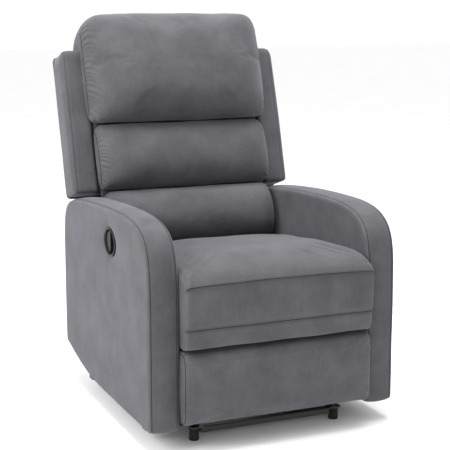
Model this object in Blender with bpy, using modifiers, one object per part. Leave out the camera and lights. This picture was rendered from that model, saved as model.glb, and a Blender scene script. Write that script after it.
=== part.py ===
"""Pull-release recliner armchair: an upholstered chair on a black steel recline mechanism.

Axes: +X to the sitter's left, -Y is the way the sitter faces, +Z up, floor at z = 0.
Every place is written in the chair frame: x, then d, the distance behind the arm fronts, then z.
The backrest has its own frame, an empty that leans with it: x, n to the rear, s up the back.
Left and right are the sitter's.
"""
import math

import bmesh
import bpy
from mathutils import Vector

# ---------------------------------------------------------------- driving dimensions, metres
ARM_FRONT_Y = -0.4066       # y of the arm fronts, which centres the chair's box on the origin
CHAIR_HALF_WIDTH = 0.350
ARM_THICKNESS = 0.084
ARM_WALL = 0.014            # foam and cover round the hollow arm
ARM_BOTTOM = 0.0535
ARM_FRONT_TOP = 0.395       # where the front edge starts to round over
ARM_REAR = 0.744
ARM_EDGE_ROUND = 0.010

BACK_LEAN = math.radians(17.0)
BACK_PIVOT_D = 0.637        # lower front corner of the wings, origin of the back's frame
BACK_PIVOT_Z = 0.572
WING_HEIGHT = 0.428
WING_FRONT_INNER = 0.2705
WING_BODY_INNER = 0.2350
BACK_DEPTH = 0.085
POST_INNER = 0.2126
POST_OUTER = 0.2346
FRAME_FRONT_N = 0.0220      # front of the posts and rails, behind the lined panel and the spring
RAIL_REAR_N = 0.0470
PANEL_HALF_WIDTH = 0.2620
PANEL_TOP_S = 0.4250

# Back cushions: half width, front n, bottom s, top s, edge rounding
HEAD_PILLOW = (0.282, -0.120, 0.1980, 0.5105, 0.030)
MIDDLE_BOLSTER = (0.270, -0.088, 0.0020, 0.1920, 0.028)
LUMBAR_BOLSTER = (0.2615, -0.100, -0.1660, -0.0030, 0.030)
CUSHION_REAR_N = -0.0005

SEAT_HALF_WIDTH = 0.2615
SEAT_FRONT_D = -0.040
SEAT_REAR_D = 0.530
SEAT_TOP = 0.476
SEAT_FLAP_BOTTOM = 0.2735
RAIL_BOTTOM = 0.2710
RAIL_TOP = 0.3350

FOOTREST_HALF_WIDTH = 0.2625
FOOTREST_TOP = 0.262
FOOTREST_BOTTOM = 0.066
FOOTREST_FRONT_D = -0.036
FOOTREST_BOARD_D = 0.0103   # front face of the board
FOOTREST_BOARD_THICKNESS = 0.015

# Mechanism: flat links in parallel layers, counted outwards from the base rails
LAYER_START = 0.1950        # |x| of the inner face of layer 0
LAYER_PITCH = 0.0050
LINK_THICKNESS = 0.0025
LINK_RADIUS = 0.0110
RIVET_RADIUS = 0.0035
RIVET_HOLE = 0.0041
HEAD_RADIUS = 0.0068
HEAD_THICKNESS = 0.0013
HEAD_GAP = 0.0005
GAP = 0.0003                # between parts that touch
LOOSE_HOLE = 0.0060         # holes at the pivots where the linkage is opened

BASE_LAYER, SWING_LAYER, PLATE_LAYER, CRANK_LAYER, COUPLER_LAYER, BRACKET_LAYER = range(6)

# Footrest linkage: two equal parallelograms, in the folded position
CRANK_LENGTH = 0.130
CRANK_ANGLE = math.radians(-70.0)
REAR_CRANK = Vector((0.235, 0.2525))     # torque tube
FRONT_CRANK = Vector((0.080, 0.2525))
TOP_PIVOT = Vector((0.040, 0.2430))      # upper hinge of the footrest bracket
SECOND_ARM = Vector((0.0104, -0.0591))   # from the upper to the lower hinge of the bracket
CRANK = Vector((math.cos(CRANK_ANGLE), math.sin(CRANK_ANGLE))) * CRANK_LENGTH
REAR_KNEE = REAR_CRANK + CRANK
CROSSING = FRONT_CRANK + CRANK
FRONT_FOOT = CROSSING + SECOND_ARM
LOW_PIVOT = TOP_PIVOT + SECOND_ARM
TUBE_RADIUS = 0.0080

# Swing links that carry the seat on the base
SWING_LENGTH = 0.100
SWING_LEAN = math.radians(30.0)
SWING_LOW = (Vector((0.115, 0.080)), Vector((0.450, 0.080)))
SWING_RISE = Vector((math.sin(SWING_LEAN), math.cos(SWING_LEAN))) * SWING_LENGTH

BACK_HINGE = Vector((0.600, 0.300))
LATCH_PIVOT = Vector((0.205, 0.088))
LATCH_TIP = Vector((0.219, 0.224))
LUG_X = 0.1870
LUG_REACH = 0.026
SPRING_X = 0.1800
LATCH_X = 0.1830

BASE_RAIL_BOTTOM = 0.036
BASE_RAIL_FRONT = 0.045
BASE_RAIL_REAR = 0.675
FOOT_X = 0.2045
FOOT_D = (0.064, 0.655)
SUPPORT_BAR_D = (0.110, 0.575)
SUPPORT_BAR_HALF = 0.325
CROSS_RAIL_HALF = 0.1890
UNDERSIDE = BASE_RAIL_BOTTOM - GAP      # top of what is bolted under the base rails

CUP_D = 0.296
CUP_Z = 0.492
CUP_HALF_LENGTH = 0.045
CUP_HALF_HEIGHT = 0.038
CUP_DEPTH = 0.030
PADDLE_HINGE = 0.029        # the paddle's hinge, behind the cup's centre

SIDES = (("left", 1.0), ("right", -1.0))

# colour, roughness, metallic
FINISHES = {
    "fabric": ((0.215, 0.205, 0.225), 0.90, 0.0),
    "lining": ((0.030, 0.030, 0.032), 0.95, 0.0),
    "black_steel": ((0.012, 0.012, 0.013), 0.45, 0.6),
    "zinc_steel": ((0.42, 0.42, 0.43), 0.38, 1.0),
    "spring_steel": ((0.28, 0.28, 0.29), 0.35, 1.0),
    "plywood": ((0.52, 0.36, 0.20), 0.65, 0.0),
    "pine": ((0.62, 0.45, 0.26), 0.60, 0.0),
    "black_plastic": ((0.010, 0.010, 0.010), 0.38, 0.0),
    "cable_sleeve": ((0.008, 0.008, 0.008), 0.50, 0.0),
}

SIDE_VIEW = (math.pi / 2, 0.0, math.pi / 2)     # drawing x, y become d, z, and its depth runs along x
REAR_VIEW = (math.pi / 2, 0.0, 0.0)             # drawing x, y become x, z


# ---------------------------------------------------------------- helpers
def clear_scene():
    for old in list(bpy.data.objects):
        bpy.data.objects.remove(old, do_unlink=True)


def new_collection(name):
    collection = bpy.data.collections.new(name)
    bpy.context.scene.collection.children.link(collection)
    return collection


def new_frame(name, place, lean=0.0, parent=None):
    frame = bpy.data.objects.new(name, None)
    frame.empty_display_size = 0.1
    PARTS.objects.link(frame)
    frame.location = place
    frame.rotation_euler = (-lean, 0.0, 0.0)
    frame.parent = parent
    return frame


def material_for(name, finish):
    colour, roughness, metallic = FINISHES[finish]
    material = bpy.data.materials.new(name + "_" + finish)
    material.use_nodes = True
    shader = material.node_tree.nodes["Principled BSDF"]
    shader.inputs["Base Color"].default_value = (*colour, 1.0)
    shader.inputs["Roughness"].default_value = roughness
    shader.inputs["Metallic"].default_value = metallic
    material.diffuse_color = (*colour, 1.0)
    return material


def place(obj, name, finish, parent, location, rotation=(0.0, 0.0, 0.0)):
    """Name an object, give it its material and put it in its frame."""
    obj.name = name
    obj.data.name = name
    obj.data.materials.clear()
    obj.data.materials.append(material_for(name, finish))
    if obj.name not in PARTS.objects:
        PARTS.objects.link(obj)
    obj.parent = parent
    obj.location = location
    obj.rotation_euler = rotation
    return obj


def mesh_object(name, build):
    """A mesh object whose shape is made by build(bm)."""
    mesh = bpy.data.meshes.new(name)
    bm = bmesh.new()
    build(bm)
    bm.to_mesh(mesh)
    bm.free()
    return bpy.data.objects.new(name, mesh)


def add_bevel(obj, width, segments=2, angle=50.0):
    bevel = obj.modifiers.new("rounded_edges", "BEVEL")
    bevel.width = width
    bevel.segments = segments
    bevel.limit_method = "ANGLE"
    bevel.angle_limit = math.radians(angle)
    return obj


def block(name, finish, parent, low, high, rounding=0.0, segments=2):
    """A box between two corners."""
    low = Vector(low)
    high = Vector(high)

    def build(bm):
        bmesh.ops.create_cube(bm, size=1.0)
        bmesh.ops.scale(bm, vec=high - low, verts=bm.verts)

    obj = place(mesh_object(name, build), name, finish, parent, (low + high) / 2)
    if rounding:
        add_bevel(obj, rounding, segments)
    return obj


def rod_mesh(name, radius, start, end, segments=12):
    """A cylinder along x from start to end, about the object's origin."""
    def build(bm):
        bmesh.ops.create_cone(bm, cap_ends=True, segments=segments, radius1=radius, radius2=radius,
                              depth=abs(end - start))
        bmesh.ops.rotate(bm, cent=(0, 0, 0), matrix=Vector((1, 0, 0)).to_track_quat("Z", "Y").to_matrix(),
                         verts=bm.verts)
        bmesh.ops.translate(bm, vec=((start + end) / 2, 0, 0), verts=bm.verts)

    return mesh_object(name, build)


def as_cutter(obj, parent, location):
    """Keep a helper solid for a Boolean out of the model."""
    CUTTERS.objects.link(obj)
    obj.parent = parent
    obj.location = location
    obj.hide_render = True
    obj.display_type = "WIRE"
    return obj


def boolean(obj, tool, operation):
    modifier = obj.modifiers.new(operation.lower(), "BOOLEAN")
    modifier.operation = operation
    modifier.solver = "EXACT"
    modifier.object = tool
    return obj


def outline_curve(name, loops, thickness):
    """A flat plate: closed outlines (the first is outside, the rest are holes) with a thickness."""
    curve = bpy.data.curves.new(name, "CURVE")
    curve.dimensions = "2D"
    curve.fill_mode = "BOTH"
    curve.extrude = thickness / 2
    for loop in loops:
        spline = curve.splines.new("POLY")
        spline.points.add(len(loop) - 1)
        for point, (u, v) in zip(spline.points, loop):
            point.co = (u, v, 0.0, 1.0)
        spline.use_cyclic_u = True
    return bpy.data.objects.new(name, curve)


def welded_mesh(curve_object):
    """The same shape as a closed mesh, so that Booleans can use it."""
    CUTTERS.objects.link(curve_object)
    bpy.context.view_layer.update()
    depsgraph = bpy.context.evaluated_depsgraph_get()
    mesh = bpy.data.meshes.new_from_object(curve_object.evaluated_get(depsgraph))
    bm = bmesh.new()
    bm.from_mesh(mesh)
    bmesh.ops.remove_doubles(bm, verts=bm.verts, dist=0.00001)
    bm.to_mesh(mesh)
    bm.free()
    obj = bpy.data.objects.new(curve_object.name, mesh)
    obj.matrix_world = curve_object.matrix_world
    bpy.data.objects.remove(curve_object, do_unlink=True)
    return obj


def circle(centre, radius, steps=12):
    return [(centre[0] + radius * math.cos(math.tau * i / steps),
             centre[1] + radius * math.sin(math.tau * i / steps)) for i in range(steps)]


def hull(points):
    """The convex outline round a set of points, anticlockwise."""
    points = sorted(set(points))

    def half(sequence):
        chain = []
        for p in sequence:
            while len(chain) > 1 and cross(chain[-2], chain[-1], p) <= 0:
                chain.pop()
            chain.append(p)
        return chain[:-1]

    def cross(a, b, c):
        return (b[0] - a[0]) * (c[1] - a[1]) - (b[1] - a[1]) * (c[0] - a[0])

    return half(points) + half(points[::-1])


def inset(points, margin):
    """An outline moved inwards by a margin; the points run anticlockwise."""
    moved = []
    for i, here in enumerate(points):
        before = Vector(here) - Vector(points[i - 1])
        after = Vector(points[(i + 1) % len(points)]) - Vector(here)
        normal_a = Vector((-before.y, before.x)).normalized()
        normal_b = Vector((-after.y, after.x)).normalized()
        middle = (normal_a + normal_b).normalized()
        moved.append(tuple(Vector(here) + middle * (margin / max(0.5, middle.dot(normal_a)))))
    return moved


def smooth_curve(points, steps):
    """A Catmull-Rom curve through the points, with its end points doubled."""
    padded = [points[0], *points, points[-1]]
    result = []
    for a, b, c, d in zip(padded, padded[1:], padded[2:], padded[3:]):
        a, b, c, d = Vector(a), Vector(b), Vector(c), Vector(d)
        for i in range(steps):
            t = i / steps
            result.append(tuple(0.5 * (2 * b + (c - a) * t + (2 * a - 5 * b + 4 * c - d) * t * t
                                       + (3 * b - a - 3 * c + d) * t ** 3)))
    result.append(tuple(points[-1]))
    return result


def layer_x(side, layer):
    """Inner and outer face of a link layer on one side."""
    inner = LAYER_START + layer * LAYER_PITCH
    return side * inner, side * (inner + LINK_THICKNESS)


def plate(name, finish, parent, side, layer, origin, loops):
    """A steel plate in a link layer, drawn in d and z, with its origin on a pivot."""
    local = [[(u - origin[0], v - origin[1]) for u, v in loop] for loop in loops]
    inner, outer = layer_x(side, layer)
    obj = welded_mesh(outline_curve(name, local, LINK_THICKNESS))
    return place(obj, name, finish, parent, ((inner + outer) / 2, origin[0], origin[1]), SIDE_VIEW)


def add_rivet(obj, side, layer, pivot, parent, outwards=True, hub=RIVET_RADIUS):
    """A shouldered rivet on a plate: through the next layer, with a head on its far side."""
    inner, outer = layer_x(side, layer)
    way = side if outwards else -side
    root = (inner + outer) / 2
    through = LAYER_PITCH + LINK_THICKNESS / 2 + HEAD_GAP
    start = root + way * through
    tools = (rod_mesh(obj.name + "_stud", hub, root, start + way * HEAD_THICKNESS / 2),
             rod_mesh(obj.name + "_head", HEAD_RADIUS, start, start + way * HEAD_THICKNESS))
    for tool in tools:
        as_cutter(tool, parent, (0.0, pivot[0], pivot[1]))
        boolean(obj, tool, "UNION")
    return obj


def turned(name, finish, parent, location, profile, rotation=(0.0, 0.0, 0.0), steps=16):
    """A turned solid: (radius, height) points, from the top of the axis down the outside."""
    mesh = bpy.data.meshes.new(name)
    mesh.from_pydata([(r, 0.0, h) for r, h in profile], [(i, i + 1) for i in range(len(profile) - 1)], [])
    obj = place(bpy.data.objects.new(name, mesh), name, finish, parent, location, rotation)
    screw = obj.modifiers.new("turned", "SCREW")
    screw.steps = steps
    screw.render_steps = steps
    screw.use_merge_vertices = True
    screw.merge_threshold = 0.00001
    screw.use_smooth_shade = True
    return obj


def wire(name, finish, parent, points, radius, sides=2):
    """A round wire or cable along points."""
    curve = bpy.data.curves.new(name, "CURVE")
    curve.dimensions = "3D"
    curve.bevel_depth = radius
    curve.bevel_resolution = sides
    curve.use_fill_caps = True
    spline = curve.splines.new("POLY")
    spline.points.add(len(points) - 1)
    for point, co in zip(spline.points, points):
        point.co = (*co, 1.0)
    return place(bpy.data.objects.new(name, curve), name, finish, parent, (0.0, 0.0, 0.0))


# ---------------------------------------------------------------- base
def make_base(chair):
    for label, side in SIDES:
        leg = [(BASE_RAIL_FRONT, BASE_RAIL_BOTTOM), (BASE_RAIL_REAR, BASE_RAIL_BOTTOM),
               (BASE_RAIL_REAR, 0.060), (0.500, 0.060), (0.470, 0.095), (0.430, 0.095), (0.400, 0.060),
               (0.250, 0.060), (0.225, 0.100), (0.100, 0.095), (0.075, 0.060), (BASE_RAIL_FRONT, 0.060)]
        cable_hole = circle((0.150, 0.0495), 0.0042, 8)
        loops = [leg, cable_hole] if side < 0 else [leg]
        rail = plate("base_side_rail_" + label, "black_steel", chair, side, BASE_LAYER,
                     (BASE_RAIL_FRONT, BASE_RAIL_BOTTOM), loops)
        inner = side * 0.1850
        outer = side * 0.2175

        def flange(bm, inner=inner, outer=outer):
            bmesh.ops.create_cube(bm, size=1.0)
            bmesh.ops.scale(bm, vec=(abs(outer - inner), BASE_RAIL_REAR - BASE_RAIL_FRONT - 0.001, 0.003),
                            verts=bm.verts)

        tool = as_cutter(mesh_object(rail.name + "_flange", flange), chair,
                         ((inner + outer) / 2, (BASE_RAIL_FRONT + BASE_RAIL_REAR) / 2, BASE_RAIL_BOTTOM + 0.0018))
        boolean(rail, tool, "UNION")
        for pivot in SWING_LOW:
            add_rivet(rail, side, BASE_LAYER, pivot, chair)
        if side < 0:
            pin = rod_mesh("latch_pin", RIVET_RADIUS, -LAYER_START - 0.001, -LATCH_X + HEAD_GAP + HEAD_THICKNESS)
            head = rod_mesh("latch_pin_head", HEAD_RADIUS, -LATCH_X + HEAD_GAP,
                            -LATCH_X + HEAD_GAP + HEAD_THICKNESS)
            for tool in (pin, head):
                boolean(rail, as_cutter(tool, chair, (0.0, *LATCH_PIVOT)), "UNION")
        for end, d in zip(("front", "rear"), FOOT_D):
            turned("foot_%s_%s" % (end, label), "black_plastic", chair, (side * FOOT_X, d, 0.0),
                   [(0.0, 0.0357), (0.0150, 0.0357), (0.0150, 0.0290), (0.0130, 0.0240), (0.0135, 0.0030),
                    (0.0115, 0.0), (0.0, 0.0)])
    for end, d in zip(("front", "rear"), FOOT_D):
        block("base_%s_rail" % end, "black_steel", chair, (-CROSS_RAIL_HALF, d - 0.010, 0.0187),
              (CROSS_RAIL_HALF, d + 0.010, UNDERSIDE), 0.002, 1)
    for end, d in zip(("front", "rear"), SUPPORT_BAR_D):
        block("arm_support_bar_" + end, "black_steel", chair, (-SUPPORT_BAR_HALF, d - 0.015, UNDERSIDE - 0.006),
              (SUPPORT_BAR_HALF, d + 0.015, UNDERSIDE))


# ---------------------------------------------------------------- arms
def arm_outline():
    """The arm seen from the side, anticlockwise from its lower front corner."""
    top = [(ARM_REAR, 0.430), (0.735, 0.500), (0.706, 0.535), (0.650, 0.556), (0.552, 0.568), (0.415, 0.577),
           (0.303, 0.581), (0.213, 0.582), (0.142, 0.578), (0.089, 0.568), (0.051, 0.551), (0.020, 0.520),
           (0.004, 0.465), (0.0, ARM_FRONT_TOP)]
    bottom = [(0.0, ARM_BOTTOM), (0.400, ARM_BOTTOM), (0.480, 0.0565), (0.570, 0.067), (0.653, 0.083),
              (ARM_REAR, 0.107)]
    return bottom + top


def ellipse_cutter(name, half_length, half_height, start, end, chair):
    cutter = rod_mesh(name, 1.0, start, end, 24)
    for vertex in cutter.data.vertices:
        vertex.co.y *= half_length
        vertex.co.z *= half_height
    return as_cutter(cutter, chair, (0.0, CUP_D, CUP_Z))


def make_arms(chair):
    outline = arm_outline()
    cavity = [(d, z if z > 0.12 else z - 0.06) for d, z in inset(outline, ARM_WALL)]
    board_top = [(d, z) for d, z in inset(outline, ARM_WALL + GAP) if z > 0.12]
    board_front = board_top[-1][0]
    board_rear = board_top[0][0]
    board_bottom = [(board_front, 0.058)]
    for d, edge in zip(SUPPORT_BAR_D, (0.058, 0.076)):
        board_bottom += [(d - 0.018, edge), (d - 0.018, BASE_RAIL_BOTTOM), (d + 0.018, BASE_RAIL_BOTTOM),
                         (d + 0.018, edge)]
    board = board_bottom + [(board_rear, 0.118)] + board_top
    for label, side in SIDES:
        centre = side * (CHAIR_HALF_WIDTH - ARM_THICKNESS / 2)
        cover = welded_mesh(outline_curve("arm_cover_" + label, [outline], ARM_THICKNESS))
        place(cover, "arm_cover_" + label, "fabric", chair, (centre, 0.0, 0.0), SIDE_VIEW)
        add_bevel(cover, ARM_EDGE_ROUND, 2)
        hollow = welded_mesh(outline_curve("arm_hollow_" + label, [cavity], ARM_THICKNESS - 2 * ARM_WALL))
        as_cutter(hollow, chair, (centre, 0.0, 0.0))
        hollow.rotation_euler = SIDE_VIEW
        boolean(cover, hollow, "DIFFERENCE")
        if side < 0:
            seat_for_rim = ellipse_cutter("cup_rim_seat", CUP_HALF_LENGTH + 0.0009, CUP_HALF_HEIGHT + 0.0009,
                                          -0.36, -CHAIR_HALF_WIDTH + 0.0037, chair)
            hole = ellipse_cutter("cup_hole", 0.0420, 0.0356, -0.36, -0.325, chair)
            boolean(cover, seat_for_rim, "DIFFERENCE")
            boolean(cover, hole, "DIFFERENCE")
        thickness = 0.015
        inner_wall = CHAIR_HALF_WIDTH - ARM_THICKNESS + ARM_WALL + GAP
        panel = outline_curve("arm_panel_" + label, [board], thickness)
        place(panel, "arm_panel_" + label, "plywood", chair, (side * (inner_wall + thickness / 2), 0.0, 0.0),
              SIDE_VIEW)


# ---------------------------------------------------------------- release handle
def make_release(chair):
    """Oval cup in the right arm, its spring-loaded paddle, the cable and the latch."""
    face = -CHAIR_HALF_WIDTH + GAP
    profile = [(0.0, -0.0280), (0.0330, -0.0280), (0.0375, -0.0240), (0.0390, -0.0010), (0.0400, 0.0),
               (0.0440, 0.0), (CUP_HALF_LENGTH, -0.0012), (CUP_HALF_LENGTH, -0.0030), (0.0408, -0.0030),
               (0.0400, -0.0245), (0.0350, -CUP_DEPTH), (0.0, -CUP_DEPTH)]
    cup = turned("release_cup", "black_plastic", chair, (face, CUP_D, CUP_Z), profile,
                 (0.0, -math.pi / 2, 0.0), 24)
    cup.scale = (CUP_HALF_HEIGHT / CUP_HALF_LENGTH, 1.0, 1.0)

    # The paddle covers the rear part of the cup. Its origin is on its upright hinge.
    hinge_x = face + 0.0050
    half_height = 0.0285
    half_length = 0.0355
    start = math.acos(0.004 / half_length)
    arc = [(half_length * math.cos(start - 2 * start * i / 14),
            half_height * math.sin(start - 2 * start * i / 14)) for i in range(15)]
    leaf = [(d - PADDLE_HINGE, z) for d, z in arc[::-1]]
    paddle = welded_mesh(outline_curve("release_paddle", [leaf], 0.0030))
    place(paddle, "release_paddle", "black_plastic", chair, (hinge_x, CUP_D + PADDLE_HINGE, CUP_Z), SIDE_VIEW)

    def lip(bm):
        bmesh.ops.create_cube(bm, size=1.0)
        bmesh.ops.scale(bm, vec=(0.0110, 0.0030, 0.0480), verts=bm.verts)

    tool = as_cutter(mesh_object("paddle_lip", lip), chair, (hinge_x + 0.0045, CUP_D + 0.0058, CUP_Z))
    boolean(paddle, tool, "UNION")

    route = [(-0.326, 0.300, CUP_Z - 0.0415), (-0.324, 0.300, 0.420), (-0.316, 0.298, 0.360),
             (-0.310, 0.290, 0.280), (-0.308, 0.270, 0.200), (-0.307, 0.238, 0.130), (-0.306, 0.205, 0.080),
             (-0.303, 0.184, 0.055), (-0.288, 0.172, 0.0468), (-0.262, 0.160, 0.0468),
             (-0.230, 0.152, 0.0480), (-0.205, 0.150, 0.0492), (-0.192, 0.150, 0.0510), (-0.181, 0.152, 0.064), (-0.1775, 0.156, 0.088), (-0.1775, 0.165, 0.115),
             (-0.1775, 0.182, 0.138), (-0.1775, 0.206, 0.146)]
    wire("release_cable", "cable_sleeve", chair, smooth_curve(route, 2), 0.0024)

    outline = hull(circle(LATCH_PIVOT, 0.011) + circle(LATCH_TIP, 0.006))
    local = [[(u - LATCH_PIVOT[0], v - LATCH_PIVOT[1]) for u, v in loop]
             for loop in (outline, circle(LATCH_PIVOT, RIVET_HOLE))]
    latch = outline_curve("footrest_latch", local, LINK_THICKNESS)
    place(latch, "footrest_latch", "zinc_steel", chair, (-LATCH_X - LINK_THICKNESS / 2, *LATCH_PIVOT), SIDE_VIEW)


# ---------------------------------------------------------------- swing links and seat frame
def make_swing_links(chair):
    for label, side in SIDES:
        for end, low in zip(("front", "rear"), SWING_LOW):
            high = low + SWING_RISE
            outline = hull(circle(low, LINK_RADIUS) + circle(high, LINK_RADIUS))
            plate("%s_swing_link_%s" % (end, label), "black_steel", chair, side, SWING_LAYER, low,
                  [outline, circle(low, RIVET_HOLE), circle(high, LOOSE_HOLE)])


def make_seat_frame(chair):
    for label, side in SIDES:
        ear = [(BACK_HINGE[0] + 0.020 * math.cos(a), BACK_HINGE[1] + 0.020 * math.sin(a))
               for a in [math.radians(-30 + 30 * i) for i in range(7)]]
        outline = [(0.050, 0.215), (0.110, 0.152), (0.535, 0.152)] + ear + [(0.558, 0.2690), (0.050, 0.2690)]
        loops = [outline, circle(REAR_CRANK, TUBE_RADIUS + 0.0005, 16)]
        seat_plate = plate("seat_plate_" + label, "black_steel", chair, side, PLATE_LAYER, (0.050, 0.152), loops)
        inner = layer_x(side, PLATE_LAYER)[0] + side * 0.0006
        outer = side * 0.2480

        def flange(bm, inner=inner, outer=outer):
            bmesh.ops.create_cube(bm, size=1.0)
            bmesh.ops.scale(bm, vec=(abs(outer - inner), 0.533, 0.003), verts=bm.verts)

        tool = as_cutter(mesh_object(seat_plate.name + "_flange", flange), chair,
                         ((inner + outer) / 2, 0.2735, RAIL_BOTTOM - GAP - 0.0015))
        boolean(seat_plate, tool, "UNION")
        add_rivet(seat_plate, side, PLATE_LAYER, FRONT_CRANK, chair)
        add_rivet(seat_plate, side, PLATE_LAYER, BACK_HINGE, chair)
        for low in SWING_LOW:
            add_rivet(seat_plate, side, PLATE_LAYER, low + SWING_RISE, chair, outwards=False)
        x_inner, x_outer = sorted((side * 0.2250, side * 0.2470))
        block("seat_side_rail_" + label, "pine", chair, (x_inner, 0.0228, RAIL_BOTTOM),
              (x_outer, 0.5147, RAIL_TOP))
    block("seat_front_rail", "pine", chair, (-0.2470, 0.0, RAIL_BOTTOM), (0.2470, 0.0225, RAIL_TOP))
    block("seat_rear_rail", "pine", chair, (-0.2470, 0.5150, RAIL_BOTTOM), (0.2470, 0.5375, RAIL_TOP))
    wire_radius = 0.0019
    for label, x in (("left", 0.130), ("centre", 0.0), ("right", -0.130)):
        turns = 9
        zigzag = [(x, 0.008, 0.0), (x, 0.024, 0.0)]
        for i in range(turns):
            reach = 0.026 * (1 if i % 2 else -1)
            middle = 0.050 + i * (0.440 / (turns - 1))
            zigzag += [(x + reach, middle - 0.014, 0.0), (x + reach, middle + 0.014, 0.0)]
        zigzag += [(x, 0.513, 0.0), (x, 0.529, 0.0)]
        height = RAIL_TOP + GAP + wire_radius
        wire("seat_spring_" + label, "spring_steel", chair, [(a, b, height) for a, b, _ in zigzag], wire_radius, 0)


def make_seat_cushion(chair):
    top = smooth_curve([(SEAT_REAR_D, 0.412), (0.505, 0.431), (0.350, 0.454), (0.200, 0.470), (0.090, SEAT_TOP),
                        (0.030, 0.474), (-0.012, 0.462), (-0.034, 0.437), (SEAT_FRONT_D, 0.400),
                        (-0.038, 0.330), (-0.032, SEAT_FLAP_BOTTOM)], 2)
    outline = [(-0.0010, SEAT_FLAP_BOTTOM), (-0.0010, 0.3400), (SEAT_REAR_D, 0.3400)] + top
    cushion = welded_mesh(outline_curve("seat_cushion", [outline], 2 * SEAT_HALF_WIDTH))
    place(cushion, "seat_cushion", "fabric", chair, (0.0, 0.0, 0.0), SIDE_VIEW)


# ---------------------------------------------------------------- backrest
def make_backrest(back):
    """Everything on the leaning frame: x, n to the rear, s up the back."""
    hinge = back_frame_point(BACK_HINGE)
    for label, side in SIDES:
        foot = (hinge[0], hinge[1])
        head = (0.045, -0.030)
        outline = hull(circle(foot, 0.017) + circle(head, 0.013))
        loops = [outline, circle(foot, RIVET_HOLE)]
        local = [[(u - foot[0], v - foot[1]) for u, v in loop] for loop in loops]
        inner = LAYER_START + CRANK_LAYER * LAYER_PITCH - 0.0003
        bracket = outline_curve("back_bracket_" + label, local, LINK_THICKNESS)
        place(bracket, "back_bracket_" + label, "black_steel", back,
              (side * (inner + LINK_THICKNESS / 2), foot[0], foot[1]), SIDE_VIEW)
        x_inner, x_outer = sorted((side * POST_INNER, side * POST_OUTER))
        block("back_post_" + label, "pine", back, (x_inner, FRAME_FRONT_N, -0.2550),
              (x_outer, BACK_DEPTH - 0.0002, PANEL_TOP_S))

        section = [(WING_FRONT_INNER, 0.0), (0.345, 0.0), (0.345, BACK_DEPTH), (WING_BODY_INNER, BACK_DEPTH),
                   (WING_BODY_INNER, 0.0185), (WING_FRONT_INNER, 0.0185)]
        wing = welded_mesh(outline_curve("wing_" + label, [[(side * x, n) for x, n in section]], WING_HEIGHT))
        place(wing, "wing_" + label, "fabric", back, (0.0, 0.0, WING_HEIGHT / 2))
        add_bevel(wing, 0.008, 2)

    rail_end = POST_INNER - GAP
    block("back_top_rail", "pine", back, (-rail_end, FRAME_FRONT_N, 0.3850), (rail_end, RAIL_REAR_N, PANEL_TOP_S))
    bracket_inner = LAYER_START + CRANK_LAYER * LAYER_PITCH - 2 * GAP
    block("back_lower_rail", "pine", back, (-bracket_inner, FRAME_FRONT_N, -0.2300),
          (bracket_inner, RAIL_REAR_N, -0.1900))
    block("inner_back_panel", "lining", back, (-PANEL_HALF_WIDTH, 0.0005, -0.2350),
          (PANEL_HALF_WIDTH, 0.0172, PANEL_TOP_S))
    runs = 8
    zigzag = []
    for i in range(runs):
        x = 0.150 * (1 if i % 2 else -1)
        s = -0.180 + i * (0.560 / (runs - 1))
        zigzag += [(x, 0.0195, s - 0.012), (x, 0.0195, s + 0.012)]
    zigzag = [(0.0, 0.0195, -0.2220)] + zigzag + [(0.0, 0.0195, 0.4180)]
    wire("back_spring", "spring_steel", back, zigzag, 0.0018, 0)

    tee = [(-0.2620, -0.3000), (0.2620, -0.3000), (0.2620, -0.0030), (0.3430, -0.0030), (0.3430, 0.4280),
           (-0.3430, 0.4280), (-0.3430, -0.0030), (-0.2620, -0.0030)]
    cover = outline_curve("outer_back_cover", [tee], 0.0100)
    place(cover, "outer_back_cover", "fabric", back, (0.0, BACK_DEPTH + 0.0053, 0.0), REAR_VIEW)

    make_back_cushion("middle_bolster", back, MIDDLE_BOLSTER)
    make_back_cushion("lumbar_bolster", back, LUMBAR_BOLSTER)
    pillow = make_back_cushion("head_pillow", back, HEAD_PILLOW)

    def over_the_top(bm):
        bmesh.ops.create_cube(bm, size=1.0)
        bmesh.ops.scale(bm, vec=(0.556, 0.104, 0.079), verts=bm.verts)

    # The head cushion also wraps over the top of the frame, to the rear.
    tool = as_cutter(mesh_object("head_pillow_top", over_the_top), back, (0.0, 0.022, 0.469))
    add_bevel(tool, 0.018, 2)
    boolean(pillow, tool, "UNION")


def make_back_cushion(name, back, sizes):
    half_width, front, bottom, top, rounding = sizes
    return block(name, "fabric", back, (-half_width, front, bottom), (half_width, CUSHION_REAR_N, top), rounding, 3)


def back_frame_point(point):
    """(d, z) in the chair frame as (n, s) in the back's frame."""
    d = point[0] - BACK_PIVOT_D
    z = point[1] - BACK_PIVOT_Z
    return (d * math.cos(BACK_LEAN) - z * math.sin(BACK_LEAN), d * math.sin(BACK_LEAN) + z * math.cos(BACK_LEAN))


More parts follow.
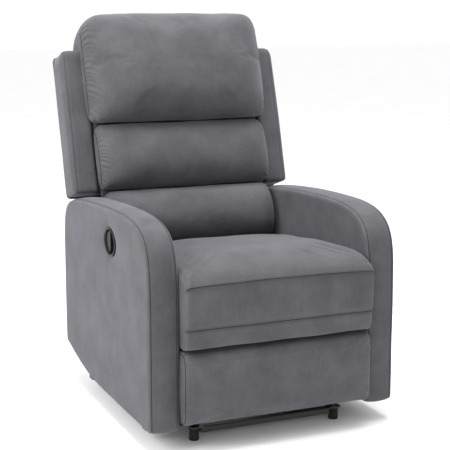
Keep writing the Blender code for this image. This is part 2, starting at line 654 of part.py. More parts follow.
# ---------------------------------------------------------------- footrest
def make_torque_tube(chair):
    """The tube turns in both seat plates. Its right lug has the catch below and the spring above."""
    half = LAYER_START + CRANK_LAYER * LAYER_PITCH - GAP
    tube = rod_mesh("torque_tube", TUBE_RADIUS, -half, half, 16)
    place(tube, "torque_tube", "zinc_steel", chair, (0.0, *REAR_CRANK))
    reach = Vector((0.0, LUG_REACH))
    tip = REAR_CRANK + reach
    outline = hull(circle(tip, 0.006) + circle(REAR_CRANK, 0.012) + circle(REAR_CRANK - reach, 0.006))
    lug = welded_mesh(outline_curve("lug", [outline], LINK_THICKNESS))
    as_cutter(lug, chair, (-LUG_X - LINK_THICKNESS / 2, 0.0, 0.0))
    lug.rotation_euler = SIDE_VIEW
    peg = as_cutter(rod_mesh("peg", 0.0025, -LUG_X - 0.001, -0.1760), chair, (0.0, *tip))
    boolean(tube, lug, "UNION")
    boolean(tube, peg, "UNION")
    spring = [(0.0, 0.2730), (0.0016, 0.2725), (0.0016, 0.1900), (0.0060, 0.1860), (0.0060, 0.0380),
              (0.0016, 0.0340), (0.0016, 0.0005), (0.0, 0.0)]
    turned("footrest_spring", "spring_steel", chair, (-SPRING_X, tip[0] + 0.0033, tip[1]), spring,
           (-math.pi / 2, 0.0, 0.0), 8)


def make_footrest_links(chair):
    for label, side in SIDES:
        rear = hull(circle(REAR_CRANK, 0.014) + circle(REAR_KNEE, LINK_RADIUS))
        link = plate("rear_footrest_link_" + label, "black_steel", chair, side, CRANK_LAYER, REAR_CRANK, [rear])
        add_rivet(link, side, CRANK_LAYER, REAR_KNEE, chair)

        front = hull(circle(FRONT_CRANK, LINK_RADIUS) + circle(CROSSING, LINK_RADIUS) + circle(FRONT_FOOT, LINK_RADIUS))
        link = plate("front_footrest_link_" + label, "black_steel", chair, side, CRANK_LAYER, FRONT_CRANK,
                     [front, circle(FRONT_CRANK, RIVET_HOLE)])
        add_rivet(link, side, CRANK_LAYER, CROSSING, chair)
        add_rivet(link, side, CRANK_LAYER, FRONT_FOOT, chair)

        lower = elbow_outline(REAR_KNEE, CROSSING, TOP_PIVOT, LINK_RADIUS)
        link = plate("long_footrest_link_" + label, "black_steel", chair, side, COUPLER_LAYER, REAR_KNEE,
                     [lower, circle(REAR_KNEE, RIVET_HOLE), circle(CROSSING, 0.0048)])
        add_rivet(link, side, COUPLER_LAYER, TOP_PIVOT, chair)

        short = hull(circle(FRONT_FOOT, LINK_RADIUS) + circle(LOW_PIVOT, LINK_RADIUS))
        link = plate("short_footrest_link_" + label, "black_steel", chair, side, COUPLER_LAYER, LOW_PIVOT,
                     [short, circle(FRONT_FOOT, 0.0048)])
        add_rivet(link, side, COUPLER_LAYER, LOW_PIVOT, chair)


def elbow_outline(a, b, c, radius):
    """A bent link: a rounded strip from a to b to c."""
    first = (b - a).normalized()
    second = (c - b).normalized()
    middle = (first + second).normalized()
    across = Vector((-middle.y, middle.x))
    stretch = radius / across.dot(Vector((-first.y, first.x)))
    start = math.atan2(first.y, first.x)
    finish = math.atan2(second.y, second.x)
    back_end = [tuple(a + radius * Vector((math.cos(t), math.sin(t))))
                for t in [start + math.pi / 2 + math.pi * i / 6 for i in range(7)]]
    front_end = [tuple(c + radius * Vector((math.cos(t), math.sin(t))))
                 for t in [finish - math.pi / 2 + math.pi * i / 6 for i in range(7)]]
    return back_end + [tuple(b - across * stretch)] + front_end + [tuple(b + across * stretch)]


def make_footrest_panel(chair):
    board_rear = FOOTREST_BOARD_D + FOOTREST_BOARD_THICKNESS
    block("footrest_board", "plywood", chair, (-0.2600, FOOTREST_BOARD_D, FOOTREST_BOTTOM + 0.004),
          (0.2600, board_rear, FOOTREST_TOP - 0.004))
    block("footrest_pad", "fabric", chair, (-FOOTREST_HALF_WIDTH, FOOTREST_FRONT_D, FOOTREST_BOTTOM),
          (FOOTREST_HALF_WIDTH, FOOTREST_BOARD_D - GAP, FOOTREST_TOP), 0.012, 2)
    for label, side in SIDES:
        edge = board_rear + GAP
        outline = hull(circle(TOP_PIVOT, LINK_RADIUS) + circle(LOW_PIVOT, LINK_RADIUS)
                       + [(edge + 0.001, 0.2530), (edge + 0.001, 0.1310)])
        bracket = plate("footrest_bracket_" + label, "black_steel", chair, side, BRACKET_LAYER, TOP_PIVOT,
                        [outline, circle(TOP_PIVOT, RIVET_HOLE), circle(LOW_PIVOT, RIVET_HOLE)])

        def foot_plate(bm):
            bmesh.ops.create_cube(bm, size=1.0)
            bmesh.ops.scale(bm, vec=(0.0220, 0.0025, 0.1240), verts=bm.verts)

        inner, _ = layer_x(side, BRACKET_LAYER)
        tool = as_cutter(mesh_object(bracket.name + "_foot", foot_plate), chair,
                         (inner + side * 0.0116, edge + 0.00125, 0.1920))
        boolean(bracket, tool, "UNION")


# ---------------------------------------------------------------- the whole chair
clear_scene()
PARTS = new_collection("recliner_armchair")
CUTTERS = new_collection("cutters")
CHAIR = new_frame("chair_frame", (0.0, ARM_FRONT_Y, 0.0))
BACK = new_frame("back_frame", (0.0, BACK_PIVOT_D, BACK_PIVOT_Z), BACK_LEAN, CHAIR)

make_base(CHAIR)
make_arms(CHAIR)
make_release(CHAIR)
make_swing_links(CHAIR)
make_seat_frame(CHAIR)
make_seat_cushion(CHAIR)
make_backrest(BACK)
make_torque_tube(CHAIR)
make_footrest_links(CHAIR)
make_footrest_panel(CHAIR)
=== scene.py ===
import math

import bmesh
import bpy
import numpy as np
from mathutils import Euler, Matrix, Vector
from mathutils.bvhtree import BVHTree


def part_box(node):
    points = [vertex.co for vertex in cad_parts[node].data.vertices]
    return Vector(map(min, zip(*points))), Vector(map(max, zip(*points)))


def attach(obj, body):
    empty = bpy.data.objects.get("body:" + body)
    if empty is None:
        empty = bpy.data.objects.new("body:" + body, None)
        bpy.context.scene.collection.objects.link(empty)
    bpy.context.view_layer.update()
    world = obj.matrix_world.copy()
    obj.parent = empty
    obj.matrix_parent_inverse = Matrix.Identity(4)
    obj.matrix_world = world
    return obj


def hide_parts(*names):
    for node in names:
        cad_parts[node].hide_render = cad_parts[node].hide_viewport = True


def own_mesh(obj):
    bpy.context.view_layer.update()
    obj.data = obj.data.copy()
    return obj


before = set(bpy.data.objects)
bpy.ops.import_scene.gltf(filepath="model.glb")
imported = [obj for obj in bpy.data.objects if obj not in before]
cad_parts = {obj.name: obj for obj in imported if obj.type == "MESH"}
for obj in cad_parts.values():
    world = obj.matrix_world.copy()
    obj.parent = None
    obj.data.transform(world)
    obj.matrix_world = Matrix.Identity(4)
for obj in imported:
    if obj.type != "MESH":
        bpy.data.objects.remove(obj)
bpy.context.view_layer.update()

# The chair frame: x to the sitter's left, d behind the arm fronts, z up. The back's frame leans:
# x, n to the rear, s up the back. Left and right are the sitter's.
ARM_LOW, ARM_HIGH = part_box("arm_cover_right")
ARM_FRONT = ARM_LOW[1]
HALF_WIDTH = -ARM_LOW[0]
ARM_INNER = -ARM_HIGH[0]
BACK_LEAN = math.radians(17.0)
BACK_ORIGIN_D = 0.637
BACK_ORIGIN_Z = 0.572
SIDES = (("left", 1.0), ("right", -1.0))

CUP_D = 0.296
CUP_Z = 0.492
CUP_HALF_LENGTH = 0.045
CUP_HALF_HEIGHT = 0.038

SEAM_RADIUS = 0.0011
STITCH_PITCH = 0.0048
STITCH_LENGTH = 0.0034
STITCH_RADIUS = 0.00070
STITCH_SIDES = 5
STITCH_RINGS = ((-0.5, 0.25), (-0.28, 1.0), (0.28, 1.0), (0.5, 0.25))  # shares of length and radius
TOPSTITCH = 0.0042          # from the seam to each row of topstitching
FOLD_LIFT = 0.0001          # of a seam's fold line over the cloth
THREAD_LIFT = 0.0003        # of the stitches over the cloth

CLOTH_PRESSURE = 4.0
CLOTH_FRAMES = 20


def chair(x, d, z):
    return (x, ARM_FRONT + d, z)


def back(x, n, s):
    return (x,
            ARM_FRONT + BACK_ORIGIN_D + n * math.cos(BACK_LEAN) + s * math.sin(BACK_LEAN),
            BACK_ORIGIN_Z - n * math.sin(BACK_LEAN) + s * math.cos(BACK_LEAN))


# ---------------------------------------------------------------- materials
def add(tree, kind, **values):
    """A shader node with its inputs set; an underscore in a name stands for a space."""
    made = tree.nodes.new(kind)
    for key, value in values.items():
        name = key.replace("_", " ")
        if isinstance(value, bpy.types.NodeSocket):
            tree.links.new(value, made.inputs[name])
        else:
            made.inputs[name].default_value = value
    return made


def new_material(name):
    material = bpy.data.materials.new(name)
    material.use_nodes = True
    tree = material.node_tree
    shader = tree.nodes["Principled BSDF"]
    place = tree.nodes.new("ShaderNodeTexCoord").outputs["Object"]
    return material, tree, shader, place


def stretched(tree, place, scale):
    return add(tree, "ShaderNodeMapping", Vector=place, Scale=scale).outputs["Vector"]


def noise(tree, place, scale, detail=2.0, roughness=0.5):
    return add(tree, "ShaderNodeTexNoise", Vector=place, Scale=scale, Detail=detail,
               Roughness=roughness).outputs["Fac"]


def blend_values(tree, a, b, share):
    """a and b mixed, with b's share."""
    made = tree.nodes.new("ShaderNodeMix")
    made.inputs[0].default_value = share
    tree.links.new(a, made.inputs[2])
    tree.links.new(b, made.inputs[3])
    return made.outputs[0]


def spread(tree, value, low, high, new_low, new_high):
    made = add(tree, "ShaderNodeMapRange", Value=value, From_Min=low, From_Max=high, To_Min=new_low,
               To_Max=new_high)
    return made.outputs["Result"]


def two_tone(tree, value, low, high, dark, light):
    ramp = tree.nodes.new("ShaderNodeValToRGB")
    ramp.color_ramp.elements[0].position = low
    ramp.color_ramp.elements[1].position = high
    ramp.color_ramp.elements[0].color = (*dark, 1.0)
    ramp.color_ramp.elements[1].color = (*light, 1.0)
    tree.links.new(value, ramp.inputs["Fac"])
    return ramp.outputs["Color"]


def mix_colours(tree, share, a, b):
    made = tree.nodes.new("ShaderNodeMix")
    made.data_type = "RGBA"
    tree.links.new(share, made.inputs[0])
    for socket, colour in ((made.inputs[6], a), (made.inputs[7], b)):
        if isinstance(colour, bpy.types.NodeSocket):
            tree.links.new(colour, socket)
        else:
            socket.default_value = (*colour, 1.0)
    return made.outputs[2]


def bumped(tree, shader, height, strength, distance, under=None):
    made = add(tree, "ShaderNodeBump", Height=height, Strength=strength, Distance=distance)
    if under is not None:
        tree.links.new(under, made.inputs["Normal"])
    tree.links.new(made.outputs["Normal"], shader.inputs["Normal"])
    return made.outputs["Normal"]


def weave(tree, place, period):
    """Threads about a period apart on every face, whichever way it looks."""
    scale = math.tau / (20 * period)
    total = None
    for direction in "XYZ":
        wave = add(tree, "ShaderNodeTexWave", Vector=place, Scale=scale, Distortion=1.2, Detail=1.0)
        wave.bands_direction = direction
        fac = wave.outputs["Fac"]
        total = fac if total is None else blend_values(tree, total, fac, 0.45)
    return total


def rubbed_and_highlit_edges(tree, low, high, most):
    """The share of a lighter edge colour, which grows where the mesh is sharp: rubbed wear, and on the
    velvet also a painted highlight.
    """
    sharp = tree.nodes.new("ShaderNodeNewGeometry").outputs["Pointiness"]
    return spread(tree, sharp, low, high, 0.0, most)


def velvet(name, dark, light, wear_and_highlight_colour, sheen=0.16):
    """Short-pile upholstery cloth: mottled pile, fine slubs, a weave under it, and sharp edges lightened
    towards an edge colour that is partly rubbed pile and partly a painted highlight.
    """
    material, tree, shader, place = new_material(name)
    mottle = noise(tree, place, 11.0, 4.0, 0.62)
    slub = noise(tree, stretched(tree, place, (1.0, 1.0, 0.10)), 210.0, 3.0, 0.6)
    pile = noise(tree, place, 420.0, 4.0, 0.75)
    tone = blend_values(tree, blend_values(tree, mottle, slub, 0.20), pile, 0.42)
    colour = two_tone(tree, tone, 0.38, 0.62, dark, light)
    # Sharp edges turn lighter: rubbed pile, and a painted highlight along the edges.
    edge = rubbed_and_highlit_edges(tree, 0.502, 0.560, 0.5)
    tree.links.new(mix_colours(tree, edge, colour, wear_and_highlight_colour), shader.inputs["Base Color"])
    tree.links.new(spread(tree, pile, 0.3, 0.7, 0.74, 0.94), shader.inputs["Roughness"])
    shader.inputs["Specular IOR Level"].default_value = 0.22
    shader.inputs["Sheen Weight"].default_value = sheen
    shader.inputs["Sheen Roughness"].default_value = 0.42
    shader.inputs["Sheen Tint"].default_value = (0.86, 0.87, 1.0, 1.0)
    soft = bumped(tree, shader, noise(tree, place, 34.0, 2.0, 0.5), 0.30, 0.0016)
    threads = blend_values(tree, weave(tree, place, 0.0011), pile, 0.45)
    bumped(tree, shader, threads, 0.42, 0.0005, soft)
    return material


def thread():
    """Twisted sewing thread, a shade darker than the cloth."""
    material, tree, shader, place = new_material("tonal_thread")
    twist = add(tree, "ShaderNodeTexWave", Vector=place, Scale=420.0, Distortion=0.6)
    twist.bands_direction = "DIAGONAL"
    colour = two_tone(tree, twist.outputs["Fac"], 0.2, 0.8, (0.014, 0.0136, 0.016), (0.036, 0.035, 0.040))
    tree.links.new(colour, shader.inputs["Base Color"])
    tree.links.new(spread(tree, twist.outputs["Fac"], 0.0, 1.0, 0.45, 0.62), shader.inputs["Roughness"])
    shader.inputs["Sheen Weight"].default_value = 0.3
    bumped(tree, shader, twist.outputs["Fac"], 0.5, 0.0002)
    return material


def metal(name, colour, roughness, metallic, flake=0.0):
    """Painted or plated steel with fine scratches, an uneven coat and rubbed edges."""
    material, tree, shader, place = new_material(name)
    cloud = noise(tree, place, 18.0, 3.0, 0.6)
    scratch = noise(tree, stretched(tree, place, (0.12, 1.0, 1.0)), 720.0, 4.0, 0.7)
    tone = blend_values(tree, cloud, scratch, 0.4)
    dark = tuple(0.75 * c for c in colour)
    light = tuple(min(1.0, 1.30 * c + 0.004) for c in colour)
    base = two_tone(tree, tone, 0.35, 0.65, dark, light)
    edge = rubbed_and_highlit_edges(tree, 0.52, 0.60, 0.35)
    wear_and_highlight_colour = tuple(min(1.0, 2.4 * c + 0.02) for c in colour)
    tree.links.new(mix_colours(tree, edge, base, wear_and_highlight_colour), shader.inputs["Base Color"])
    gloss = spread(tree, tone, 0.3, 0.7, roughness * 0.78, roughness * 1.25)
    tree.links.new(gloss, shader.inputs["Roughness"])
    shader.inputs["Metallic"].default_value = metallic
    under = bumped(tree, shader, noise(tree, place, 480.0, 2.0, 0.5), 0.10 + flake, 0.0002)
    bumped(tree, shader, scratch, 0.12, 0.0001, under)
    return material


def plastic(name, colour, roughness):
    """Moulded plastic with a fine texture, scuffs and a soft gloss."""
    material, tree, shader, place = new_material(name)
    scuff = noise(tree, place, 55.0, 5.0, 0.7)
    grain = noise(tree, place, 1500.0, 2.0, 0.5)
    light = tuple(1.9 * c + 0.004 for c in colour)
    tree.links.new(two_tone(tree, scuff, 0.45, 0.80, colour, light), shader.inputs["Base Color"])
    gloss = spread(tree, scuff, 0.3, 0.7, roughness * 0.8, roughness * 1.3)
    tree.links.new(gloss, shader.inputs["Roughness"])
    shader.inputs["Specular IOR Level"].default_value = 0.20
    shader.inputs["Coat Weight"].default_value = 0.04
    shader.inputs["Coat Roughness"].default_value = 0.25
    bumped(tree, shader, grain, 0.15, 0.0001)
    return material


def timber(name, dark, light, ring_scale, along):
    """Sawn wood: growth rings drawn out along the grain, with pores."""
    material, tree, shader, place = new_material(name)
    drawn = stretched(tree, place, tuple(0.12 if axis == along else 1.0 for axis in range(3)))
    ring = add(tree, "ShaderNodeTexWave", Vector=drawn, Scale=ring_scale, Distortion=5.0, Detail=3.0,
               Detail_Scale=1.5)
    ring.wave_type = "RINGS"
    pores = noise(tree, stretched(tree, place, tuple(0.04 if axis == along else 1.0 for axis in range(3))),
                  900.0, 3.0, 0.6)
    tone = blend_values(tree, ring.outputs["Fac"], pores, 0.35)
    tree.links.new(two_tone(tree, tone, 0.2, 0.85, dark, light), shader.inputs["Base Color"])
    tree.links.new(spread(tree, pores, 0.3, 0.7, 0.50, 0.75), shader.inputs["Roughness"])
    bumped(tree, shader, pores, 0.25, 0.0003)
    return material


def lining_cloth():
    """Thin black non-woven cloth with its pattern of small bonded dots."""
    material, tree, shader, place = new_material("lining_cloth")
    dots = add(tree, "ShaderNodeTexVoronoi", Vector=place, Scale=420.0, Randomness=0.35)
    fuzz = noise(tree, place, 600.0, 3.0, 0.7)
    colour = two_tone(tree, fuzz, 0.35, 0.7, (0.018, 0.018, 0.020), (0.050, 0.050, 0.054))
    tree.links.new(colour, shader.inputs["Base Color"])
    tree.links.new(spread(tree, fuzz, 0.3, 0.7, 0.85, 1.0), shader.inputs["Roughness"])
    shader.inputs["Sheen Weight"].default_value = 0.2
    bumped(tree, shader, dots.outputs["Distance"], 0.5, 0.0004)
    return material


# The third colour goes on sharp edges: rubbed pile, and a painted highlight.
FABRIC = velvet("grey_velvet", (0.054, 0.0530, 0.0588), (0.090, 0.0885, 0.0968), (0.145, 0.143, 0.157))
# A near-black cloth for the seams' fold lines: painted shade of the groove at each seam.
SEAM_SHADE_CLOTH = velvet("seam_painted_shade", (0.007, 0.0068, 0.008), (0.014, 0.0135, 0.016), (0.040, 0.039, 0.044), 0.1)
THREAD = thread()
LINING = lining_cloth()
BLACK_STEEL = metal("black_painted_steel", (0.008, 0.008, 0.009), 0.45, 0.20, flake=0.12)
ZINC = metal("zinc_plate", (0.42, 0.42, 0.43), 0.34, 1.0)
SPRING_STEEL = metal("oiled_spring_steel", (0.22, 0.22, 0.23), 0.32, 1.0)
PLASTIC = plastic("black_moulded_plastic", (0.009, 0.009, 0.010), 0.42)
SLEEVE = plastic("cable_sleeve_plastic", (0.008, 0.008, 0.009), 0.42)
PLYWOOD = timber("plywood", (0.36, 0.23, 0.12), (0.60, 0.44, 0.26), 9.0, 0)
PINE = timber("pine", (0.46, 0.30, 0.15), (0.70, 0.53, 0.32), 14.0, 0)
PINE_UPRIGHT = timber("pine_upright", (0.46, 0.30, 0.15), (0.70, 0.53, 0.32), 14.0, 2)

CAD_FINISHES = (
    (("seat_side_rail", "seat_front_rail", "seat_rear_rail", "back_top_rail", "back_lower_rail"), PINE),
    (("back_post",), PINE_UPRIGHT),
    (("arm_panel", "footrest_board"), PLYWOOD),
    (("seat_spring", "back_spring", "footrest_spring"), SPRING_STEEL),
    (("torque_tube", "footrest_latch"), ZINC),
    (("release_cup", "release_paddle", "foot_"), PLASTIC),
    (("release_cable",), SLEEVE),
    (("inner_back_panel",), LINING),
    (("base_", "arm_support_bar", "seat_plate", "back_bracket", "front_", "rear_", "long_", "short_",
      "footrest_bracket"), BLACK_STEEL),
    (("",), FABRIC),
)


def finish_cad_nodes():
    """Give every CAD node its own material, also those that a finer piece hides."""
    for name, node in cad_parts.items():
        finish = next(material for starts, material in CAD_FINISHES if name.startswith(starts))
        for place in node.material_slots:
            place.material = finish


# ---------------------------------------------------------------- outlines
def corner_cut(points, cuts, steps=6):
    """A closed outline with each corner rounded off from `cut` before it to `cut` after it."""
    result = []
    count = len(points)
    for i, here in enumerate(points):
        here = np.array(here, float)
        before = np.array(points[i - 1], float) - here
        after = np.array(points[(i + 1) % count], float) - here
        cut = cuts[i] if isinstance(cuts, (list, tuple)) else cuts
        start = here + before * min(0.5, cut / np.linalg.norm(before))
        end = here + after * min(0.5, cut / np.linalg.norm(after))
        for k in range(steps + 1):
            t = k / steps
            result.append((1 - t) ** 2 * start + 2 * t * (1 - t) * here + t * t * end)
    return np.array(result)


def resampled(loop, count):
    """Points an equal way apart round a closed outline."""
    closed = np.vstack([loop, loop[:1]])
    steps = np.linalg.norm(np.diff(closed, axis=0), axis=1)
    along = np.concatenate([[0.0], np.cumsum(steps)])
    wanted = np.linspace(0.0, along[-1], count, endpoint=False)
    return np.column_stack([np.interp(wanted, along, closed[:, k]) for k in range(closed.shape[1])])


def outward(loop):
    """The outward normal at each point of a closed outline that runs anticlockwise."""
    tangent = np.roll(loop, -1, axis=0) - np.roll(loop, 1, axis=0)
    tangent /= np.linalg.norm(tangent, axis=1)[:, None]
    normal = np.column_stack([tangent[:, 1], -tangent[:, 0]])
    area = np.sum(loop[:, 0] * np.roll(loop[:, 1], -1) - np.roll(loop[:, 0], -1) * loop[:, 1])
    return normal if area > 0 else -normal


def towards(loop, centre, share):
    return np.array(centre) + (loop - np.array(centre)) * share


# ---------------------------------------------------------------- meshes
def make_piece(name, vertices, faces, material, smooth=True):
    mesh = bpy.data.meshes.new(name)
    mesh.from_pydata([tuple(v) for v in vertices], [], faces)
    bm = bmesh.new()
    bm.from_mesh(mesh)
    bmesh.ops.recalc_face_normals(bm, faces=bm.faces)
    bm.to_mesh(mesh)
    bm.free()
    mesh.materials.append(material)
    mesh.polygons.foreach_set("use_smooth", [smooth] * len(mesh.polygons))
    obj = bpy.data.objects.new(name, mesh)
    bpy.context.scene.collection.objects.link(obj)
    return obj


def loft(name, rings, material):
    """A skin over rings of points; the rings at both ends are closed by a strip of quads across them."""
    rings = np.array(rings)
    count = rings.shape[1]
    faces = []
    for r in range(len(rings) - 1):
        for i in range(count):
            j = (i + 1) % count
            faces.append((r * count + i, r * count + j, (r + 1) * count + j, (r + 1) * count + i))
    for first in (0, (len(rings) - 1) * count):
        for i in range(count // 2 - 1):
            faces.append((first + i, first + i + 1, first + count - 2 - i, first + count - 1 - i))
    return make_piece(name, rings.reshape(-1, 3), faces, material)


def coordinates(obj):
    flat = np.empty(len(obj.data.vertices) * 3)
    obj.data.vertices.foreach_get("co", flat)
    return flat.reshape(-1, 3)


def normals(obj):
    flat = np.empty(len(obj.data.vertices) * 3)
    obj.data.vertices.foreach_get("normal", flat)
    return flat.reshape(-1, 3)


def set_coordinates(obj, points):
    obj.data.vertices.foreach_set("co", points.ravel())
    obj.data.update()


def inflate(obj, held, cap):
    """The cover blown up over its stuffing as cloth; held vertices stay still and none moves over cap."""
    scene = bpy.context.scene
    rest = coordinates(obj)
    group = obj.vertex_groups.new(name="held")
    group.add([int(i) for i in held], 1.0, "REPLACE")
    cloth = obj.modifiers.new("cover", "CLOTH")
    cloth.settings.quality = 5
    cloth.settings.mass = 0.25
    cloth.settings.tension_stiffness = 12.0
    cloth.settings.compression_stiffness = 12.0
    cloth.settings.shear_stiffness = 6.0
    cloth.settings.bending_stiffness = 0.6
    cloth.settings.use_pressure = True
    cloth.settings.uniform_pressure_force = CLOTH_PRESSURE
    cloth.settings.effector_weights.gravity = 0.0
    cloth.settings.vertex_group_mass = "held"
    cloth.collision_settings.use_collision = False
    cloth.collision_settings.use_self_collision = False
    cloth.point_cache.frame_start = 1
    cloth.point_cache.frame_end = CLOTH_FRAMES
    for step in range(1, CLOTH_FRAMES + 1):
        scene.frame_set(step)
    graph = bpy.context.evaluated_depsgraph_get()
    swollen = np.empty(len(rest) * 3)
    obj.evaluated_get(graph).data.vertices.foreach_get("co", swollen)
    move = swollen.reshape(-1, 3) - rest
    length = np.maximum(np.linalg.norm(move, axis=1), 1e-9)
    obj.modifiers.remove(cloth)
    obj.vertex_groups.remove(group)
    set_coordinates(obj, rest + move * (cap * np.tanh(length / cap) / length)[:, None])
    scene.frame_set(1)


def relax(obj, count, passes=2, share=0.5):
    """Evens out small roughness along and across a loft's rings."""
    points = coordinates(obj).reshape(-1, count, 3)
    for _ in range(passes):
        around = (np.roll(points, 1, axis=1) + np.roll(points, -1, axis=1)) / 2
        across = points.copy()
        across[1:-1] = (points[:-2] + points[2:]) / 2
        points = points * (1 - share) + (around + across) / 2 * share
    set_coordinates(obj, points.reshape(-1, 3))


def smoothed(obj):
    modifier = obj.modifiers.new("smooth", "SUBSURF")
    modifier.levels = 1
    modifier.render_levels = 1
    return obj


def surface(obj):
    bpy.context.view_layer.update()
    return BVHTree.FromObject(obj, bpy.context.evaluated_depsgraph_get())


def laid(tree, points, across=0.0, lift=0.0, loop=False):
    """A path moved sideways and laid on a surface, as (point, normal, tangent)."""
    points = [Vector(p) for p in points]
    result = []
    last = len(points) - 1
    for i, p in enumerate(points):
        ahead = points[(i + 1) % len(points)] if loop else points[min(i + 1, last)]
        behind = points[i - 1] if loop else points[max(i - 1, 0)]
        tangent = (ahead - behind).normalized()
        spot, normal, _, _ = tree.find_nearest(p)
        side = normal.cross(tangent).normalized()
        spot, normal, _, _ = tree.find_nearest(spot + side * across)
        result.append((spot + normal * lift, normal, tangent))
    return result


def tube(name, path, radius, material, loop=False, sides=6):
    """A thin round strip along a laid path."""
    vertices = []
    for spot, normal, tangent in path:
        side = normal.cross(tangent).normalized()
        for k in range(sides):
            angle = math.tau * k / sides
            vertices.append(spot + side * radius * math.cos(angle) + normal * radius * math.sin(angle))
    faces = []
    count = len(path)
    for i in range(count if loop else count - 1):
        for k in range(sides):
            a = i * sides
            b = ((i + 1) % count) * sides
            faces.append((a + k, a + (k + 1) % sides, b + (k + 1) % sides, b + k))
    if not loop:
        faces.append(tuple(range(sides)))
        faces.append(tuple(reversed(range((count - 1) * sides, count * sides))))
    return make_piece(name, vertices, faces, material)


def spindle(centre, along, normal):
    """One stitch's rings of points, which narrow and dip at its ends."""
    side = normal.cross(along).normalized()
    points = []
    for place, size in STITCH_RINGS:
        dip = 0.0 if size == 1.0 else STITCH_RADIUS
        for k in range(STITCH_SIDES):
            angle = math.tau * k / STITCH_SIDES
            outwards = side * math.cos(angle) + normal * math.sin(angle)
            points.append(centre + along * place * STITCH_LENGTH + outwards * STITCH_RADIUS * size
                          - normal * dip)
    return points


def stitches(name, paths):
    """Rows of separate thread stitches along laid paths."""
    vertices = []
    faces = []
    sides = STITCH_SIDES
    last = (len(STITCH_RINGS) - 1) * sides
    for path in paths:
        travelled = 0.0
        for (a, normal, _), (b, _, _) in zip(path, path[1:]):
            step = (b - a).length
            while travelled < step and step > 1e-7:
                base = len(vertices)
                vertices += spindle(a.lerp(b, travelled / step), (b - a).normalized(), normal)
                for first in range(base, base + last, sides):
                    for k in range(sides):
                        m = (k + 1) % sides
                        faces.append((first + k, first + m, first + sides + m, first + sides + k))
                faces.append(tuple(base + k for k in range(sides)))
                faces.append(tuple(base + last + sides - 1 - k for k in range(sides)))
                travelled += STITCH_PITCH
            travelled -= step
    return make_piece(name, vertices, faces, THREAD)


def sew(obj, name, points, rows=(-TOPSTITCH, TOPSTITCH), loop=False):
    """A seam's fold line, a thin tube in near-black cloth that paints the shade in the seam's groove, and
    its rows of topstitching, laid on a finished cover.
    """
    tree = surface(obj)
    fold = laid(tree, points, 0.0, FOLD_LIFT, loop)
    made = [tube(name + "_fold", fold, SEAM_RADIUS, SEAM_SHADE_CLOTH, loop)]
    if rows:
        paths = [laid(tree, points, across, THREAD_LIFT, loop) for across in rows]
        made.append(stitches(name + "_stitches", paths))
    return made


def settle(obj, body, nodes, extras=()):
    """Ride a finished piece and what is sewn on it on a body, and let it stand for its CAD nodes."""
    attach(obj, body)
    for extra in extras:
        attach(extra, body)
    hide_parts(*nodes)
    return obj


# ---------------------------------------------------------------- padded rolls along x
# The domed rings that close each end of a roll: (share of the end outline, how far it stands out).
CAPS = ((0.93, 0.0012), (0.75, 0.0022), (0.45, 0.0030), (0.12, 0.0034))
CAP_RINGS = len(CAPS)


def roll_stations(half_width):
    """x places along a roll, closer together near its ends."""
    fine = 0.030
    near = [0.0, 0.0015, 0.003, 0.005, 0.0075, 0.0105, 0.014, 0.018, 0.023, fine]
    middle = 2 * (half_width - fine)
    spacing = 0.0075
    steps = int(middle / spacing)
    left = [-half_width + e for e in near[:-1]]
    inner = [-half_width + fine + middle * i / steps for i in range(steps + 1)]
    return left + inner + [-x for x in reversed(left)]


def shrink(distance, radius):
    """How far a corner of this radius pulls in at a distance from the end."""
    if distance >= radius:
        return 0.0
    return radius - math.sqrt(radius ** 2 - (radius - distance) ** 2)


def end_caps(edge, way):
    """The rings that close a roll's end, whose outward direction along x is way."""
    middle = edge.mean(axis=0)
    rings = []
    for share, dome in CAPS:
        ring = middle + (edge - middle) * share
        ring[:, 0] += way * dome
        rings.append(ring)
    return rings


def roll_rings(profile, half_width, centre, corner_up, corner_down, taper, end_depth, mapping):
    """Rings along x of a padded roll. Profile points are (depth, height); the front is at low depth.

    Over the taper's width the front falls back to end_depth, a share of the full depth.
    """
    up = profile[:, 1].max() - centre[1]
    down = centre[1] - profile[:, 1].min()
    rings = []
    for x in roll_stations(half_width):
        end = half_width - abs(x)
        height = np.where(profile[:, 1] > centre[1], 1 - shrink(end, corner_up) / up,
                          1 - shrink(end, corner_down) / down)
        full = math.sqrt(1 - (1 - min(1.0, end / taper)) ** 2)
        depth = np.where(profile[:, 0] < centre[0], end_depth + (1 - end_depth) * full, 1.0)
        ring = np.array(centre) + (profile - np.array(centre)) * np.column_stack([depth, height])
        rings.append([mapping(x, a, b) for a, b in ring])
    first = end_caps(np.array(rings[0]), -1.0)
    last = end_caps(np.array(rings[-1]), 1.0)
    return np.array([*reversed(first), *rings, *last], float)


def held_points(rings, count, still):
    """A roll's vertices that stay put as cloth: its ends, and the outline points that are still."""
    last = len(rings) - 1 - CAP_RINGS
    return [r * count + i for r in range(len(rings)) for i in range(count)
            if still[i] or r <= CAP_RINGS or r >= last]


